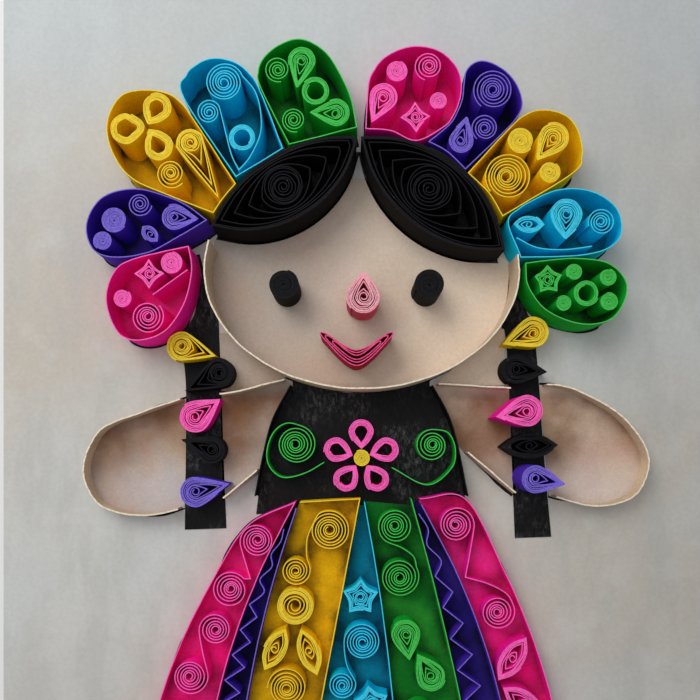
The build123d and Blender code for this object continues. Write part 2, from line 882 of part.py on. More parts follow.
def zigzag(number, step, start_depth, reach):
    """A strip folded back and forth from a wall to a share of the way to the next one."""
    line = []
    for n in range(floor((skirt_length - skirt_hem_rise - start_depth) / step)):
        depth = start_depth + step * n
        near = wall_point(number, depth, 2 * lane)
        far = wall_point(number + 1, depth, -2 * lane)
        line.append(shared(near, far, reach * (n % 2)))
    return line


# Skirt panel strips: the left pink panel is a closed loop, the others stand on their right wall
skirt_strips = {
    "purple_left": [wall_and_hem(2, 1.5)],
    "yellow": [[wall_point(2, 0, lane), wall_point(3, -panel_tip_rise)] + wall_and_hem(3, 1.0)],
    "blue": [wall_and_hem(4, 0.0)],
    "green": [[wall_point(5, -panel_tip_rise)] + wall_and_hem(5, 1.0)],
    "purple_right": [wall_and_hem(6, 0.6)],
    "pink_right": [[wall_point(6, -panel_tip_rise, lane)] + wall_and_hem(7, -panel_tip_rise)],
}
zigzags = {
    "purple_left": zigzag(1, zigzag_step_left, zigzag_start_left, zigzag_reach_left),
    "purple_right": zigzag(5, zigzag_step_right, zigzag_start_right, zigzag_reach_right),
}
left_wall = wall_line(0, pink_left_shoulder, hem_depth(skirt_walls[0]["hem"]))
next_wall = wall_line(1, 0, hem_depth(skirt_walls[1]["hem"]))
with BuildPart() as pink_left_strip:
    with BuildSketch(Plane.XY.offset(card_top)):
        closed_strip(left_wall + next_wall[::-1])
    extrude(amount=low_strip)
pink_left_strip.part.label = "skirt_pink_left_strip"
pieces.append(pink_left_strip.part)

for panel, lines in skirt_strips.items():
    with BuildPart() as panel_strip:
        with BuildSketch(Plane.XY.offset(card_top)):
            for line in lines:
                open_strip(line)
        extrude(amount=low_strip)
        if panel in zigzags:
            with BuildSketch(Plane.XY.offset(colour_top)):
                open_strip(zigzags[panel])
            extrude(amount=low_strip)
    panel_strip.part.label = f"skirt_{panel}_strip"
    pieces.append(panel_strip.part)

# Skirt panel coils: a coil row is its shape and its places, down the panel and across it
panel_coils = {
    "pink_left": (
        pink_left,
        [
            ("scroll", (10.2, 0.06, 4.5, 190, 1.5), [(20.0, 0.7)], (23.0, 0.02, 4.9, 40, -1.5)),
            ("scroll", (33.4, 0.12, 4.3, 180, 1.5), [(39.6, 0.0)], (45.8, -0.16, 4.7, 10, 1.5)),
            ("ring", 58.8, 0.0, 4.7),
        ],
    ),
    "yellow": (
        yellow,
        [
            (
                "scroll",
                (7.4, 0.26, 5.4, 120, 1.5),
                [(5.6, -0.3), (9.5, -0.36), (14.0, -0.24)],
                (17.9, -0.44, 4.0, 20, 1.5),
            ),
            ("ring", 27.2, -0.22, 5.0),
            ("marquise", 38.6, -0.5, 2.7, 33.6, -0.34),
            ("marquise", 39.2, 0.42, 2.7, 33.6, 0.1),
            ("loose", 48.6, 0.02, 5.3),
            ("ring", 60.6, 0.0, 5.1),
        ],
    ),
    "blue": (
        blue,
        [
            ("star5", 24.9, 0.0, 4.7, 20.0, 0.0),
            ("scroll", (36.6, 0.1, 4.9, 180, 1.5), [(42.4, -0.4)], (47.8, -0.48, 3.8, 10, 1.5)),
            ("star5", 52.8, 0.4, 4.6, 47.4, 0.3),
        ],
    ),
    "green": (
        green,
        [
            (
                "scroll",
                (6.4, 0.06, 4.7, 235, 1.5),
                [(11.8, 0.1), (14.2, 0.5)],
                (19.6, -0.18, 5.2, 30, 1.5),
            ),
            ("teardrop", 34.7, -0.34, 4.0, 41.4, -0.34),
            ("teardrop", 45.6, 0.25, 4.0, 39.8, -0.06),
            ("ring", 57.2, -0.26, 4.7),
        ],
    ),
    "pink_right": (
        pink_right,
        [
            (
                "scroll",
                (5.9, 0.0, 4.8, 0, -1.5),
                [(19.6, -0.72), (21.4, 0.1), (24.0, 0.66)],
                (28.8, 0.0, 4.6, 20, 1.5),
            ),
            ("marquise", 41.0, -0.08, 2.9, 35.8, 0.7),
            ("marquise", 52.6, -0.1, 2.8, 48.9, -0.74),
        ],
    ),
}
for panel, (room, coils) in panel_coils.items():
    with BuildPart() as panel_rolls:
        with BuildSketch(Plane.XY.offset(colour_top)):
            for coil in coils:
                draw_coil(room, *coil)
        extrude(amount=low_strip)
    panel_rolls.part.label = f"skirt_{panel}_coils"
    pieces.append(panel_rolls.part)


def inset(points, distance):
    """A closed line set in by a distance all round."""
    turn = sum(a[0] * b[1] - a[1] * b[0] for a, b in zip(points, points[1:] + points[:1]))
    return side_line(points, distance if turn > 0 else -distance, closed=True)


def panel_floor(number, left_start, right_start, edge):
    """The coloured floor between two skirt walls, with an edge left free along them."""
    left_end = hem_depth(skirt_walls[number]["hem"]) - 2 * lane
    right_end = hem_depth(skirt_walls[number + 1]["hem"]) - 2 * lane
    left = wall_line(number, left_start, left_end, edge)
    right = wall_line(number + 1, right_start, right_end, -edge)
    return left + right[::-1]


def arm_floors(arm, braid, rims, inner_side):
    """The skin floors of an arm, one on each side of its braid."""
    direction = 1 if inner_side[0][0] < head_x else -1
    upper = side_line(rims["upper"], direction * lane, closed=False)
    lower = side_line(rims["lower"], direction * lane, closed=False)
    hand = side_line(rims["hand"], direction * lane, closed=False)
    return [upper + lower + inner_side, hand]


# Coloured floors: paper laid flat inside the rims
edge = 2 * lane
colour_floors = {
    "pink": (["left_pink", "right_pink"], [(0, 7.4, 2.0, edge), (6, 0.6, 0.6, edge)]),
    "yellow": (["left_yellow", "right_yellow"], [(2, 1.4, 0.4, edge)]),
    "blue": (["left_blue", "right_blue"], [(3, 1.6, 1.6, 1.2 * lane)]),
    "green": (["left_green", "right_green"], [(4, 0.6, 1.6, 1.4 * lane)]),
    "purple": (["left_purple", "right_purple"], [(1, 4.0, 4.0, 1.2 * lane), (5, 1.6, 1.6, 1.4 * lane)]),
}
for colour, (petal_names, panel_values) in colour_floors.items():
    with BuildPart() as colour_floor:
        with BuildSketch(Plane.XY.offset(card_top)):
            for petal in petal_names:
                patch(inset(petal_outlines[petal], lane))
            for values in panel_values:
                patch(panel_floor(*values))
        extrude(amount=colour_thickness)
    colour_floor.part.label = f"floor_{colour}"
    pieces.append(colour_floor.part)

# Skin floors of the face and the arms
cheek_edge = 4
cheek_start = 180 - rim_end_left + cheek_edge
cheek_sweep = 180 + rim_end_left + rim_end_right - 2 * cheek_edge
cheeks = [head_rim_point(cheek_start + cheek_sweep * n / face_steps) for n in range(face_steps + 1)]
face = [shared(point, figure(0, 0), 2 * lane / head_half_width) for point in cheeks]
brow = arc_points(right_hair_end, right_hair_start, hair_fall_right + lane, hair_sides // 2)[1:-1]
brow += arc_points(left_hair_end, left_hair_start, hair_fall_left + lane, hair_sides // 2)[1:-1]
left_blouse = [(x - 2 * lane, y) for x, y in blouse_side(-1)[1::-1]]
right_blouse = [(x + 2 * lane, y) for x, y in blouse_side(1)[1::-1]]
with BuildPart() as skin_floor:
    with BuildSketch(Plane.XY.offset(card_top)):
        patch(face + brow)
        for outline in arm_floors(left_arm, left_braid, left_arm_rims, left_blouse):
            patch(outline)
        for outline in arm_floors(right_arm, right_braid, right_arm_rims, right_blouse):
            patch(outline)
    extrude(amount=colour_thickness)
skin_floor.part.label = "floor_skin"
pieces.append(skin_floor.part)

# Black floors under the hair and the blouse, and the flat bands of the braids. A band's places
# run down the braid's outer side from the temple and back up its inner side.
left_band = [
    (6.5, -2.8), (6.5, -1.0), (15.5, 1.0), (22.5, 4.4), (37.5, 4.0), (73.3, 5.6), (73.3, -4.9),
    (20.0, -4.8), (15.5, -4.2),
]
right_band = [
    (8.0, -2.7), (10.5, -1.9), (15.5, 0.6), (22.0, 2.4), (55.6, 3.8), (75.6, 4.9), (75.6, -4.2),
    (25.4, -4.6), (19.0, -5.8), (14.0, -4.3),
]
under_chin = [beside_head(angle) for angle in (297, 284, 270, 256, 243)]
bodice = [(x + lane, y) for x, y in blouse_side(-1)] + [(x - lane, y) for x, y in blouse_side(1)[::-1]]
with BuildPart() as black_floor:
    with BuildSketch(Plane.XY.offset(card_top)):
        for hair_line in hair_lines.values():
            patch(inset(hair_line, -half_paper))
        patch([left_braid.at(*point) for point in left_band])
        patch([right_braid.at(*point) for point in right_band])
        patch(bodice + under_chin)
    extrude(amount=colour_thickness)
black_floor.part.label = "floor_black"
pieces.append(black_floor.part)

os.makedirs("parts", exist_ok=True)
for piece in pieces:
    export_step(piece, f"parts/{piece.label}.step")
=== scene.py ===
# %% [markdown]
# # A doll of quilled paper
#
# Quilling draws with strips of paper that stand on edge. This scene takes a doll picture whose CAD model
# gives every strip as a thin wall with a few straight runs, and gives each one what paper has: smooth
# bends, many fine turns in each roll, cut edges that are paler than the sheet, and a slight waviness.

# %% Start and load the frame
import json
import math

import bmesh
import bpy
import numpy as np
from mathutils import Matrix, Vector

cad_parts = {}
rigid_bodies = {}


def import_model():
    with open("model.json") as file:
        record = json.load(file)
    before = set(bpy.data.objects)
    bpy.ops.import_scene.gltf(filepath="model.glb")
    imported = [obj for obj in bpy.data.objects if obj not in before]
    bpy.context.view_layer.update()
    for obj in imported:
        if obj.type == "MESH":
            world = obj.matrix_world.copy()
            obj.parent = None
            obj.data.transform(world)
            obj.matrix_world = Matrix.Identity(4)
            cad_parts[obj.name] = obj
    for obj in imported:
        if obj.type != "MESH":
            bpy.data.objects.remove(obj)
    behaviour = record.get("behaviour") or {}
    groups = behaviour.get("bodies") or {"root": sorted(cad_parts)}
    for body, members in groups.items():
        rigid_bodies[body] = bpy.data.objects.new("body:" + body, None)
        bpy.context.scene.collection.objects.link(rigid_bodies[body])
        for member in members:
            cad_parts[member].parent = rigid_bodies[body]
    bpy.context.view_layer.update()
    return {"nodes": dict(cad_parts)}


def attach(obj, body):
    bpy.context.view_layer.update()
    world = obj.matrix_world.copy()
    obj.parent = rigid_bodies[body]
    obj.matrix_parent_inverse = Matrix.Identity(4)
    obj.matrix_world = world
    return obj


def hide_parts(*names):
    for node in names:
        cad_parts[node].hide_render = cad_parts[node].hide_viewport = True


for leftover in list(bpy.data.objects):
    bpy.data.objects.remove(leftover)
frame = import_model()
nodes = frame["nodes"]
print(len(nodes), "CAD nodes loaded")

# %% [markdown]
# Lengths are metres, and `mm` turns a length in millimetres into metres. The driving sizes repeat the
# CAD model's values: a strip is 0.3 mm thick, and floors of coloured paper lie 0.2 mm thick on the card.
# What ends under `low_limit` is cut from 5 mm strips, and the rest from 10 mm ones. A `swell` is how much
# wider a roll is drawn all round than its CAD solid, and `wider_hole` does the same for the hole of a
# band. The random numbers start from a fixed seed, so that every run gives the same paper.

# %% Sizes
mm = 0.001
card_top = 0.8 * mm
colour_top = 1.0 * mm
paper = 0.26 * mm
edge_inset = 0.15 * mm
roll_pitch = 0.33 * mm
loose_pitch = 0.74 * mm
head_centre = np.array((-8.4, 38.5)) * mm
turn_samples = 40
corner_limit = math.radians(68)
low_limit = 7 * mm
petal_swell = 0.35 * mm
ring_swell = 0.5 * mm
pointed_swell = 0.25 * mm
wider_hole = 1.22
chance = np.random.default_rng(11)
print("strips stand on the card at", card_top, "m")

# %% [markdown]
# ## Reading the strips back from the CAD model
#
# Every strip is a flat outline pushed straight up. So its top face tells the whole story: one loop of
# points means an open strip, and two loops mean a closed strip or a roll with a hole. One point of the
# left blue petal is passed over, because the real strip bends roundly there. The faces are taken in the
# order of their numbers, because a set has no fixed order and each run has to give the same loops.

# %% Loops around the top face of each solid


def top_face_groups(mesh):
    """The upward faces of a mesh, grouped by what touches."""
    groups = []
    seen = set()
    for seed in mesh.faces:
        if seed.normal.z < 0.9 or seed in seen:
            continue
        group = {seed}
        waiting = [seed]
        while waiting:
            for edge in waiting.pop().edges:
                for face in edge.link_faces:
                    if face.normal.z > 0.9 and face not in group:
                        group.add(face)
                        waiting.append(face)
        seen |= group
        groups.append(group)
    return groups


def loops_around(group):
    """The closed lines of vertices around a group of faces, each in walking order."""
    following = {}
    for face in sorted(group, key=lambda face: face.index):
        for corner in face.loops:
            inside = [other for other in corner.edge.link_faces if other in group]
            if len(inside) == 1:
                following[corner.vert] = corner.link_loop_next.vert
    loops = []
    while following:
        start = next(iter(following))
        loop = [start]
        point = following.pop(start)
        while point != start:
            loop.append(point)
            point = following.pop(point)
        loops.append(loop)
    return loops


def area_of(points):
    x, y = points[:, 0], points[:, 1]
    return float(np.sum(x * np.roll(y, -1) - y * np.roll(x, -1))) / 2


blue_bend = head_centre + np.array((-46.4, 47.5)) * mm
bend_reach = 0.9 * mm


def without_bend(points):
    """The same points without the left blue petal's outermost one."""
    return points[np.linalg.norm(points - blue_bend, axis=1) > bend_reach]


def solids_of(node):
    """Each solid of a CAD node: the loops around its top, the outer one first, its foot and its top."""
    mesh = bmesh.new()
    mesh.from_mesh(nodes[node].data)
    bmesh.ops.remove_doubles(mesh, verts=mesh.verts, dist=0.0005 * mm)
    mesh.normal_update()
    mesh.faces.index_update()
    found = []
    for group in top_face_groups(mesh):
        loops = loops_around(group)
        some = loops[0][0]
        foot = min(vert.co.z for edge in some.link_edges for vert in edge.verts)
        lines = [np.array([(vert.co.x, vert.co.y) for vert in loop]) for loop in loops]
        if "blue" in node:
            lines = [without_bend(line) for line in lines]
        lines.sort(key=lambda line: -abs(area_of(line)))
        found.append({"loops": lines, "foot": foot, "top": some.co.z})
    mesh.free()
    return found


print("the left green petal has", len(solids_of("petal_left_green_coils")), "coils")

# %% [markdown]
# ## Lines
#
# A closed loop with few points is made smooth by a Catmull-Rom curve, which passes through each point.
# Where a strip is folded, the line turns by more than 68 degrees, and there the curve stops and starts
# again, so that folds stay sharp.

# %% Turning, corners and smoothing


def turning(points, closed):
    """How far the line turns at each point, in radians."""
    into = points - np.roll(points, 1, axis=0)
    out = np.roll(into, -1, axis=0)
    cross = into[:, 0] * out[:, 1] - into[:, 1] * out[:, 0]
    turn = np.arctan2(cross, np.sum(into * out, axis=1))
    if not closed:
        turn[0] = turn[-1] = 0
    return turn


def corners_of(points, closed):
    return set(np.flatnonzero(np.abs(turning(points, closed)) > corner_limit))


def smooth(points, closed, spacing=0.6 * mm, corners=None):
    """A curve through the points with sharp corners kept, at about the spacing given."""
    count = len(points)
    corners = corners_of(points, closed) if corners is None else corners
    curve = []
    for index in range(count if closed else count - 1):
        here, there = points[index], points[(index + 1) % count]
        before, after = points[index - 1], points[(index + 2) % count]
        if index in corners or (not closed and index == 0):
            before = 2 * here - there
        if (index + 1) % count in corners or (not closed and index == count - 2):
            after = 2 * there - here
        steps = max(1, round(np.linalg.norm(there - here) / spacing))
        s = (np.arange(steps) / steps)[:, None]
        curve.append(
            (-s + 2 * s**2 - s**3) / 2 * before
            + (2 - 5 * s**2 + 3 * s**3) / 2 * here
            + (s + 4 * s**2 - 3 * s**3) / 2 * there
            + (s**3 - s**2) / 2 * after
        )
    if not closed:
        curve.append(points[-1:])
    return np.concatenate(curve)


def across(points, closed):
    """A unit step to the left at each point, longer at corners so that a strip keeps its thickness."""
    into = points - np.roll(points, 1, axis=0)
    out = np.roll(into, -1, axis=0)
    if not closed:
        into[0] = out[0]
        out[-1] = into[-1]
    into = into / np.linalg.norm(into, axis=1)[:, None]
    out = out / np.linalg.norm(out, axis=1)[:, None]
    mean = into + out
    size = np.maximum(np.linalg.norm(mean, axis=1), 0.5)[:, None]
    return np.stack((-mean[:, 1], mean[:, 0]), axis=1) / size * (2 / size)


def resampled(points, count):
    """A closed line with its points spread evenly."""
    ring = np.concatenate((points, points[:1]))
    lengths = np.concatenate(([0], np.cumsum(np.linalg.norm(np.diff(ring, axis=0), axis=1))))
    places = np.linspace(0, lengths[-1], count, endpoint=False)
    return np.stack([np.interp(places, lengths, ring[:, axis]) for axis in (0, 1)], axis=1)


def moved_sideways(points, distance):
    """A loop beside another. A positive distance is to its left, which is inwards on a
    counter-clockwise loop."""
    return points + across(points, True) * distance


def wave(lengths, period, chance):
    """A gentle random wave from -1 to 1 along a line."""
    total = np.zeros(len(lengths))
    for share in (1.0, 0.53, 0.29):
        phase = chance.uniform(0, 2 * math.pi)
        total += np.sin(2 * math.pi * lengths / (period * share) + phase) * share
    return total / 1.82


print("a ring of ten points becomes", len(smooth(solids_of("eyes")[0]["loops"][0], True)), "points")

# %% [markdown]
# ## A strip on edge
#
# Each strip is a wall three points high on each side, so that it can bulge and lean a little. Its top
# edge runs up and down by less than a tenth of a millimetre, as paper cut by hand does.

# %% Building a strip
sharp_fold = math.radians(40)


def strip(line, foot, top, closed=False, lean=0.05 * mm, ragged=0.06 * mm, sag=None, thickness=paper):
    """Vertices and faces of a strip that stands on edge along a line."""
    count = len(line)
    steps = np.linalg.norm(np.diff(line, axis=0), axis=1)
    lengths = np.concatenate(([0], np.cumsum(steps)))
    fade = np.ones(count)
    if closed:
        fade = np.sin(np.clip(lengths / lengths[-1], 0, 1) * math.pi) ** 0.5
    side = across(line, closed)
    middle = wave(lengths, 9 * mm, chance) * lean * fade
    upper = wave(lengths, 14 * mm, chance) * lean * fade
    height = top - ragged * (0.5 + 0.5 * wave(lengths, 2.3 * mm, chance)) * fade
    height = height - ragged * 0.45 * chance.random(count) * fade
    if sag is not None:
        height = height - sag
    rows = []
    for offset, shift, level in (
        (1, 0 * middle, foot + 0 * height),
        (1, middle, foot + 0.55 * (height - foot)),
        (1, upper, height),
        (-1, upper, height),
        (-1, middle, foot + 0.55 * (height - foot)),
        (-1, 0 * middle, foot + 0 * height),
    ):
        place = line + side * (offset * thickness / 2 + shift)[:, None]
        rows.append(np.column_stack((place, level)))
    vertices = np.stack(rows, axis=1).reshape(-1, 3)
    here = np.arange(count if closed else count - 1)[:, None] * 6
    there = (here + 6) % (count * 6)
    lower = np.arange(5)[None, :]
    faces = np.stack((here + lower, there + lower, there + lower + 1, here + lower + 1), axis=2)
    faces = faces.reshape(-1, 4)
    if not closed:
        last = (count - 1) * 6
        ends = [(0, 1, 4, 5), (1, 2, 3, 4)]
        ends += [(last + 5, last + 4, last + 1, last), (last + 4, last + 3, last + 2, last + 1)]
        faces = np.concatenate((faces, np.array(ends)))
    return vertices, faces


def mesh_piece(name, parts, node=None):
    """One object from several strips, which stands for a CAD node."""
    mesh = bpy.data.meshes.new(name)
    vertices = np.concatenate([part[0] for part in parts])
    offset = 0
    faces = []
    for points, quads in parts:
        faces += [tuple(int(corner) + offset for corner in quad) for quad in quads]
        offset += len(points)
    mesh.from_pydata([tuple(point) for point in vertices], [], faces)
    piece = bpy.data.objects.new(name, mesh)
    bpy.context.scene.collection.objects.link(piece)
    tidy = bmesh.new()
    tidy.from_mesh(mesh)
    bmesh.ops.recalc_face_normals(tidy, faces=tidy.faces)
    tidy.to_mesh(mesh)
    tidy.free()
    mesh.shade_smooth()
    mesh.set_sharp_from_angle(angle=sharp_fold)
    if node:
        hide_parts(node)
    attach(piece, "root")
    return piece


print("a strip has six points at each place along it")

# %% [markdown]
# ## Rolls
#
# A roll is wound inside an outline: a circle, a teardrop, a marquise or a star. Its inner turns are
# round and lie unevenly, and from a certain share of the way out they take on the outline's shape.
# There the turns draw together towards each tip, because a pinch presses them onto one another.

# %% Winding a strip inside an outline


def wound(outline, eye, turns, core, packed=0.6, round_until=0.3, shaped_from=0.7, uneven=0.05):
    """Points of a strip wound inside an outline, from the core out, and its share of the way out."""
    count = len(outline)
    steps = max(3, round(turns * count))
    index = np.arange(steps + 1)
    spokes = outline[index % count] - eye
    reach = np.linalg.norm(spokes, axis=1)
    narrow = np.min(reach)
    packed = min(1.0, max(packed, 1.1 * paper * turns / ((1 - core) * narrow)))
    back = 1 - index / steps
    share = 1 - (1 - core) * (packed * back + (1 - packed) * back**2)
    shape = np.clip((share - round_until) / (shaped_from - round_until), 0, 1)
    shape = shape * shape * (3 - 2 * shape)
    drawn = reach * (1 - (1 - share) * (narrow / reach) ** 1.2)
    radius = shape * drawn + (1 - shape) * share * narrow
    radius += uneven * narrow * wave(index, 1.3 * count, chance) * np.sin(math.pi * share)
    adrift = chance.uniform(-1, 1, 2) * 1.6 * uneven * narrow * (1 - share)[:, None] ** 2
    return eye + adrift + spokes / reach[:, None] * radius[:, None], share


def eye_of(loop, corners):
    """The centre of a roll: of its round end if it has one tip, otherwise of the whole."""
    if len(corners) != 1:
        return loop.mean(axis=0)
    rounds = np.delete(loop, list(corners), axis=0)
    system = np.column_stack((2 * rounds, np.ones(len(rounds))))
    fit = np.linalg.lstsq(system, np.sum(rounds**2, axis=1), rcond=None)[0]
    return fit[:2]


print("tight turns lie", roll_pitch, "m apart")

# %% [markdown]
# The tips of a teardrop, a marquise or a star are pinched between two fingers, and the core stays as it
# was wound. So the turns are round up to a share of the way out: most in a long roll, less in a star and
# least in a short roll. The core also sinks a little, because nothing holds it but its own spring.

# %% Pinched rolls
long_round, star_round, short_round = 0.62, 0.46, 0.25


def pinched_roll(solid, turns=None, core=0.17, packed=0.5, eye=None, round_until=None):
    """A roll that fills a CAD roll's outer outline with many turns."""
    loop = solid["loops"][0]
    corners = corners_of(loop, True)
    if eye is None:
        eye = eye_of(loop, corners)
    swell = pointed_swell if len(corners) > 1 and solid["top"] < low_limit else 0.0
    outline = resampled(moved_sideways(smooth(loop, True, 0.3 * mm), edge_inset - swell), turn_samples)
    tip = int(np.argmax(np.linalg.norm(outline - eye, axis=1)))
    outline = np.roll(outline, -tip - turn_samples // 3, axis=0)
    reach = np.linalg.norm(outline - eye, axis=1)
    narrow = np.min(reach)
    if round_until is None:
        round_until = long_round if np.max(reach) > 2.4 * narrow else short_round
        if len(corners) > 3:
            round_until = star_round
    if turns is None:
        turns = max(2.0, (1 - core) * narrow / (1.15 * roll_pitch))
    line, share = wound(outline, eye, turns, core, packed, round_until, round_until + 0.3)
    sag = (1 - share) * chance.uniform(0.0, 0.5) * mm
    return strip(line, solid["foot"], solid["top"], lean=0.02 * mm, sag=sag)


print("a star's turns are round up to", star_round, "of the way out")

# %% [markdown]
# A tight roll is wound around a needle until its end, so its turns touch. A ring is wound around a peg,
# and a low ring's strip goes on inwards. A flower's petal is a band of several turns, pinched at one end.

# %% Tight rolls, rings and bands


def circle_about(eye, reach, wobble=0.03):
    """A slightly uneven circle that stays within its radius."""
    uneven = 1 + wobble * wave(np.arange(turn_samples) / turn_samples * 10 * mm, 10 * mm, chance)
    angles = np.arange(turn_samples) / turn_samples * 2 * math.pi + chance.uniform(0, 6)
    outline = np.column_stack((np.cos(angles), np.sin(angles))) * (reach * np.minimum(uneven, 1.0))[:, None]
    return eye + outline


def disc_roll(solid):
    """A tight roll, or a ring of many turns. A low ring's strip goes on inwards in a loose spiral."""
    outer, inner = solid["loops"][0], solid["loops"][1]
    eye = outer.mean(axis=0)
    reach = np.mean(np.linalg.norm(outer - eye, axis=1)) - edge_inset
    hole = np.mean(np.linalg.norm(inner - eye, axis=1)) / reach
    outline = circle_about(eye, reach)
    if hole < 0.4:
        line, share = wound(outline, eye, 0.94 * reach / roll_pitch, 0.06, packed=0.95, uneven=0.02)
    else:
        turns = (1 - hole) * reach / roll_pitch
        line, share = wound(outline, eye, turns, hole, packed=1.0, uneven=0.035)
        if solid["top"] < low_limit:
            loose = 2 * math.pi * np.arange(2.2 * turn_samples) / turn_samples
            first = line[0] - eye
            bearing = math.atan2(first[1], first[0]) - loose
            closing = 1 - 0.3 * loose / (2 * math.pi)
            uneven = 1 + 0.05 * np.sin(2.3 * loose)
            radius = np.linalg.norm(first) * closing * uneven
            inward = eye + radius[:, None] * np.column_stack((np.cos(bearing), np.sin(bearing)))
            line = np.concatenate((inward[:0:-1], line))
            share = np.concatenate((np.full(len(inward) - 1, share[0]), share))
    sag = (1 - share) * chance.uniform(0.0, 0.4) * mm
    return strip(line, solid["foot"], solid["top"], lean=0.015 * mm, sag=sag)


def band_roll(solid):
    """A closed band several turns thick, such as a flower's petal."""
    outer, inner = solid["loops"][0], solid["loops"][1]
    eye = eye_of(outer, corners_of(outer, True))
    swell = petal_swell if solid["top"] < low_limit else ring_swell
    outline = resampled(moved_sideways(smooth(outer, True, 0.3 * mm), edge_inset - swell), turn_samples)
    narrow = np.min(np.linalg.norm(outline - eye, axis=1))
    hole = wider_hole * np.min(np.linalg.norm(inner - eye, axis=1)) / narrow
    turns = (1 - hole) * narrow / roll_pitch
    line, share = wound(outline, eye, turns, hole, packed=1.0, round_until=-1, shaped_from=0, uneven=0.02)
    return strip(line, solid["foot"], solid["top"], lean=0.015 * mm)


print("a flower's petal is drawn", petal_swell, "m wider all round")

# %% [markdown]
# An open strip may end in a loose roll, and a scroll has one at both ends. The CAD model winds such an
# end in eleven points, each 54 degrees further round than the last, on a growing radius. In complex
# numbers those points are `centre + (a + b k) * turn**k`, which is linear in the three unknowns, so
# least squares gives the roll's centre. A finer roll with more turns then takes its place.

# %% Strips that end in a loose roll
roll_points = 11
roll_step = math.radians(54)


def centreline(loop):
    """The middle line of an open strip, from the loop around its top edge."""
    count = len(loop)
    half = count // 2
    lengths = np.linalg.norm(np.roll(loop, -1, axis=0) - loop, axis=1)
    misfit = [abs(lengths[k] - 0.3 * mm) + abs(lengths[(k + half) % count] - 0.3 * mm) for k in range(half)]
    start = int(np.argmin(misfit)) + 1
    walked = np.roll(loop, -start, axis=0)
    return (walked[:half] + walked[half:][::-1]) / 2


def fitted_roll(points):
    """The centre and radii of a rolled end, or None if the points don't lie on a roll."""
    if len(points) < roll_points:
        return None
    turn = turning(points[:roll_points], False)[1:-1]
    if np.min(np.abs(turn)) < math.radians(20) or np.ptp(np.sign(turn)) > 0:
        return None
    step = roll_step * np.sign(turn[0])
    k = np.arange(roll_points)
    spin = np.exp(1j * step * k)
    places = points[:roll_points, 0] + 1j * points[:roll_points, 1]
    system = np.column_stack((np.ones(roll_points), spin, k * spin))
    centre, start, growth = np.linalg.lstsq(system, places, rcond=None)[0]
    misfit = np.max(np.abs(system @ np.array([centre, start, growth]) - places))
    if misfit > 0.1 * mm or abs(start + growth * (roll_points - 1)) < abs(start):
        return None
    return centre, (start + growth * (roll_points - 1)) * spin[-1], np.sign(turn[0])


def fine_roll(fit):
    """A roll with more turns, from its core out, which ends where the CAD roll does. Its turns lie
    unevenly: closer near the core, which lies a little to one side."""
    centre, end, direction = fit
    turns = max(2.3, 0.85 * abs(end) / loose_pitch)
    steps = round(turns * turn_samples * 0.8)
    back = 1 - np.arange(steps + 1) / steps
    packed = chance.uniform(0.45, 0.85)
    share = 1 - 0.84 * (packed * back + (1 - packed) * (2 * back - back**2))
    wobble = 0.03 * wave(back * turns, 1.4, chance) * np.sin(math.pi * share)
    adrift = chance.uniform(0.04, 0.13) * np.exp(1j * chance.uniform(0, 2 * math.pi)) * (1 - share)
    spin = np.exp(-1j * direction * 2 * math.pi * turns * back)
    line = centre + end * ((share + wobble) * spin + adrift)
    return np.column_stack((line.real, line.imag))


def open_strip(solid):
    """An open strip with its loose rolls wound finely and its run in between made smooth."""
    points = centreline(solid["loops"][0])
    if len(points) == roll_points and not fitted_roll(points):
        points = points[::-1]
    first = fitted_roll(points)
    last = fitted_roll(points[::-1]) if len(points) > roll_points else None
    run = points[roll_points - 1 if first else 0 : len(points) - (roll_points - 1 if last else 0)]
    line = []
    if first:
        line.append(fine_roll(first)[:-1])
    if len(run) > 1:
        before = [line[0][-3]] if first else []
        tail = fine_roll(last)[::-1] if last else None
        after = [tail[2]] if last else []
        knots = np.array([*before, *run, *after])
        curve = smooth(knots, False, corners=corners_of(knots, False))
        start = int(np.argmin(np.linalg.norm(curve - run[0], axis=1)))
        end = int(np.argmin(np.linalg.norm(curve - run[-1], axis=1)))
        line.append(curve[start : end + 1])
        if last:
            line.append(tail[1:])
    else:
        line.append(run)
    return strip(np.concatenate(line), solid["foot"], solid["top"], lean=0.03 * mm)


def dressed(solid):
    """The fine strip that stands for one CAD solid, chosen by the loops around its top."""
    loops = solid["loops"]
    if len(loops) == 1:
        return open_strip(solid)
    outer, inner = loops[0], loops[1]
    if not corners_of(outer, True) and len(outer) == 10:
        return disc_roll(solid)
    if len(outer) == len(inner):
        reach = np.mean(np.linalg.norm(outer - outer.mean(axis=0), axis=1))
        width = reach - np.mean(np.linalg.norm(inner - inner.mean(axis=0), axis=1))
        if width > 0.8 * mm:
            return band_roll(solid)
        line = smooth(moved_sideways(outer, edge_inset), True)
        return strip(line, solid["foot"], solid["top"], closed=True)
    return pinched_roll(solid)


print("rolls are wound with a pitch of", roll_pitch, "to", loose_pitch, "m")

# %% [markdown]
# ## Materials
#
# Quilling paper is dyed through, but its cut edge is paler and rougher than its face. The first group
# finds the cut edge: it is where the surface faces straight up on a wall. The second gives paper its
# fibres, as a tone that varies around one and as a fine bump.

# %% Colours and node helpers


def linear(red, green, blue):
    """A colour as seen, 0 to 255, as the linear values that materials take."""
    values = [value / 255 for value in (red, green, blue)]
    return tuple(v / 12.92 if v <= 0.04045 else ((v + 0.055) / 1.055) ** 2.4 for v in values) + (1.0,)


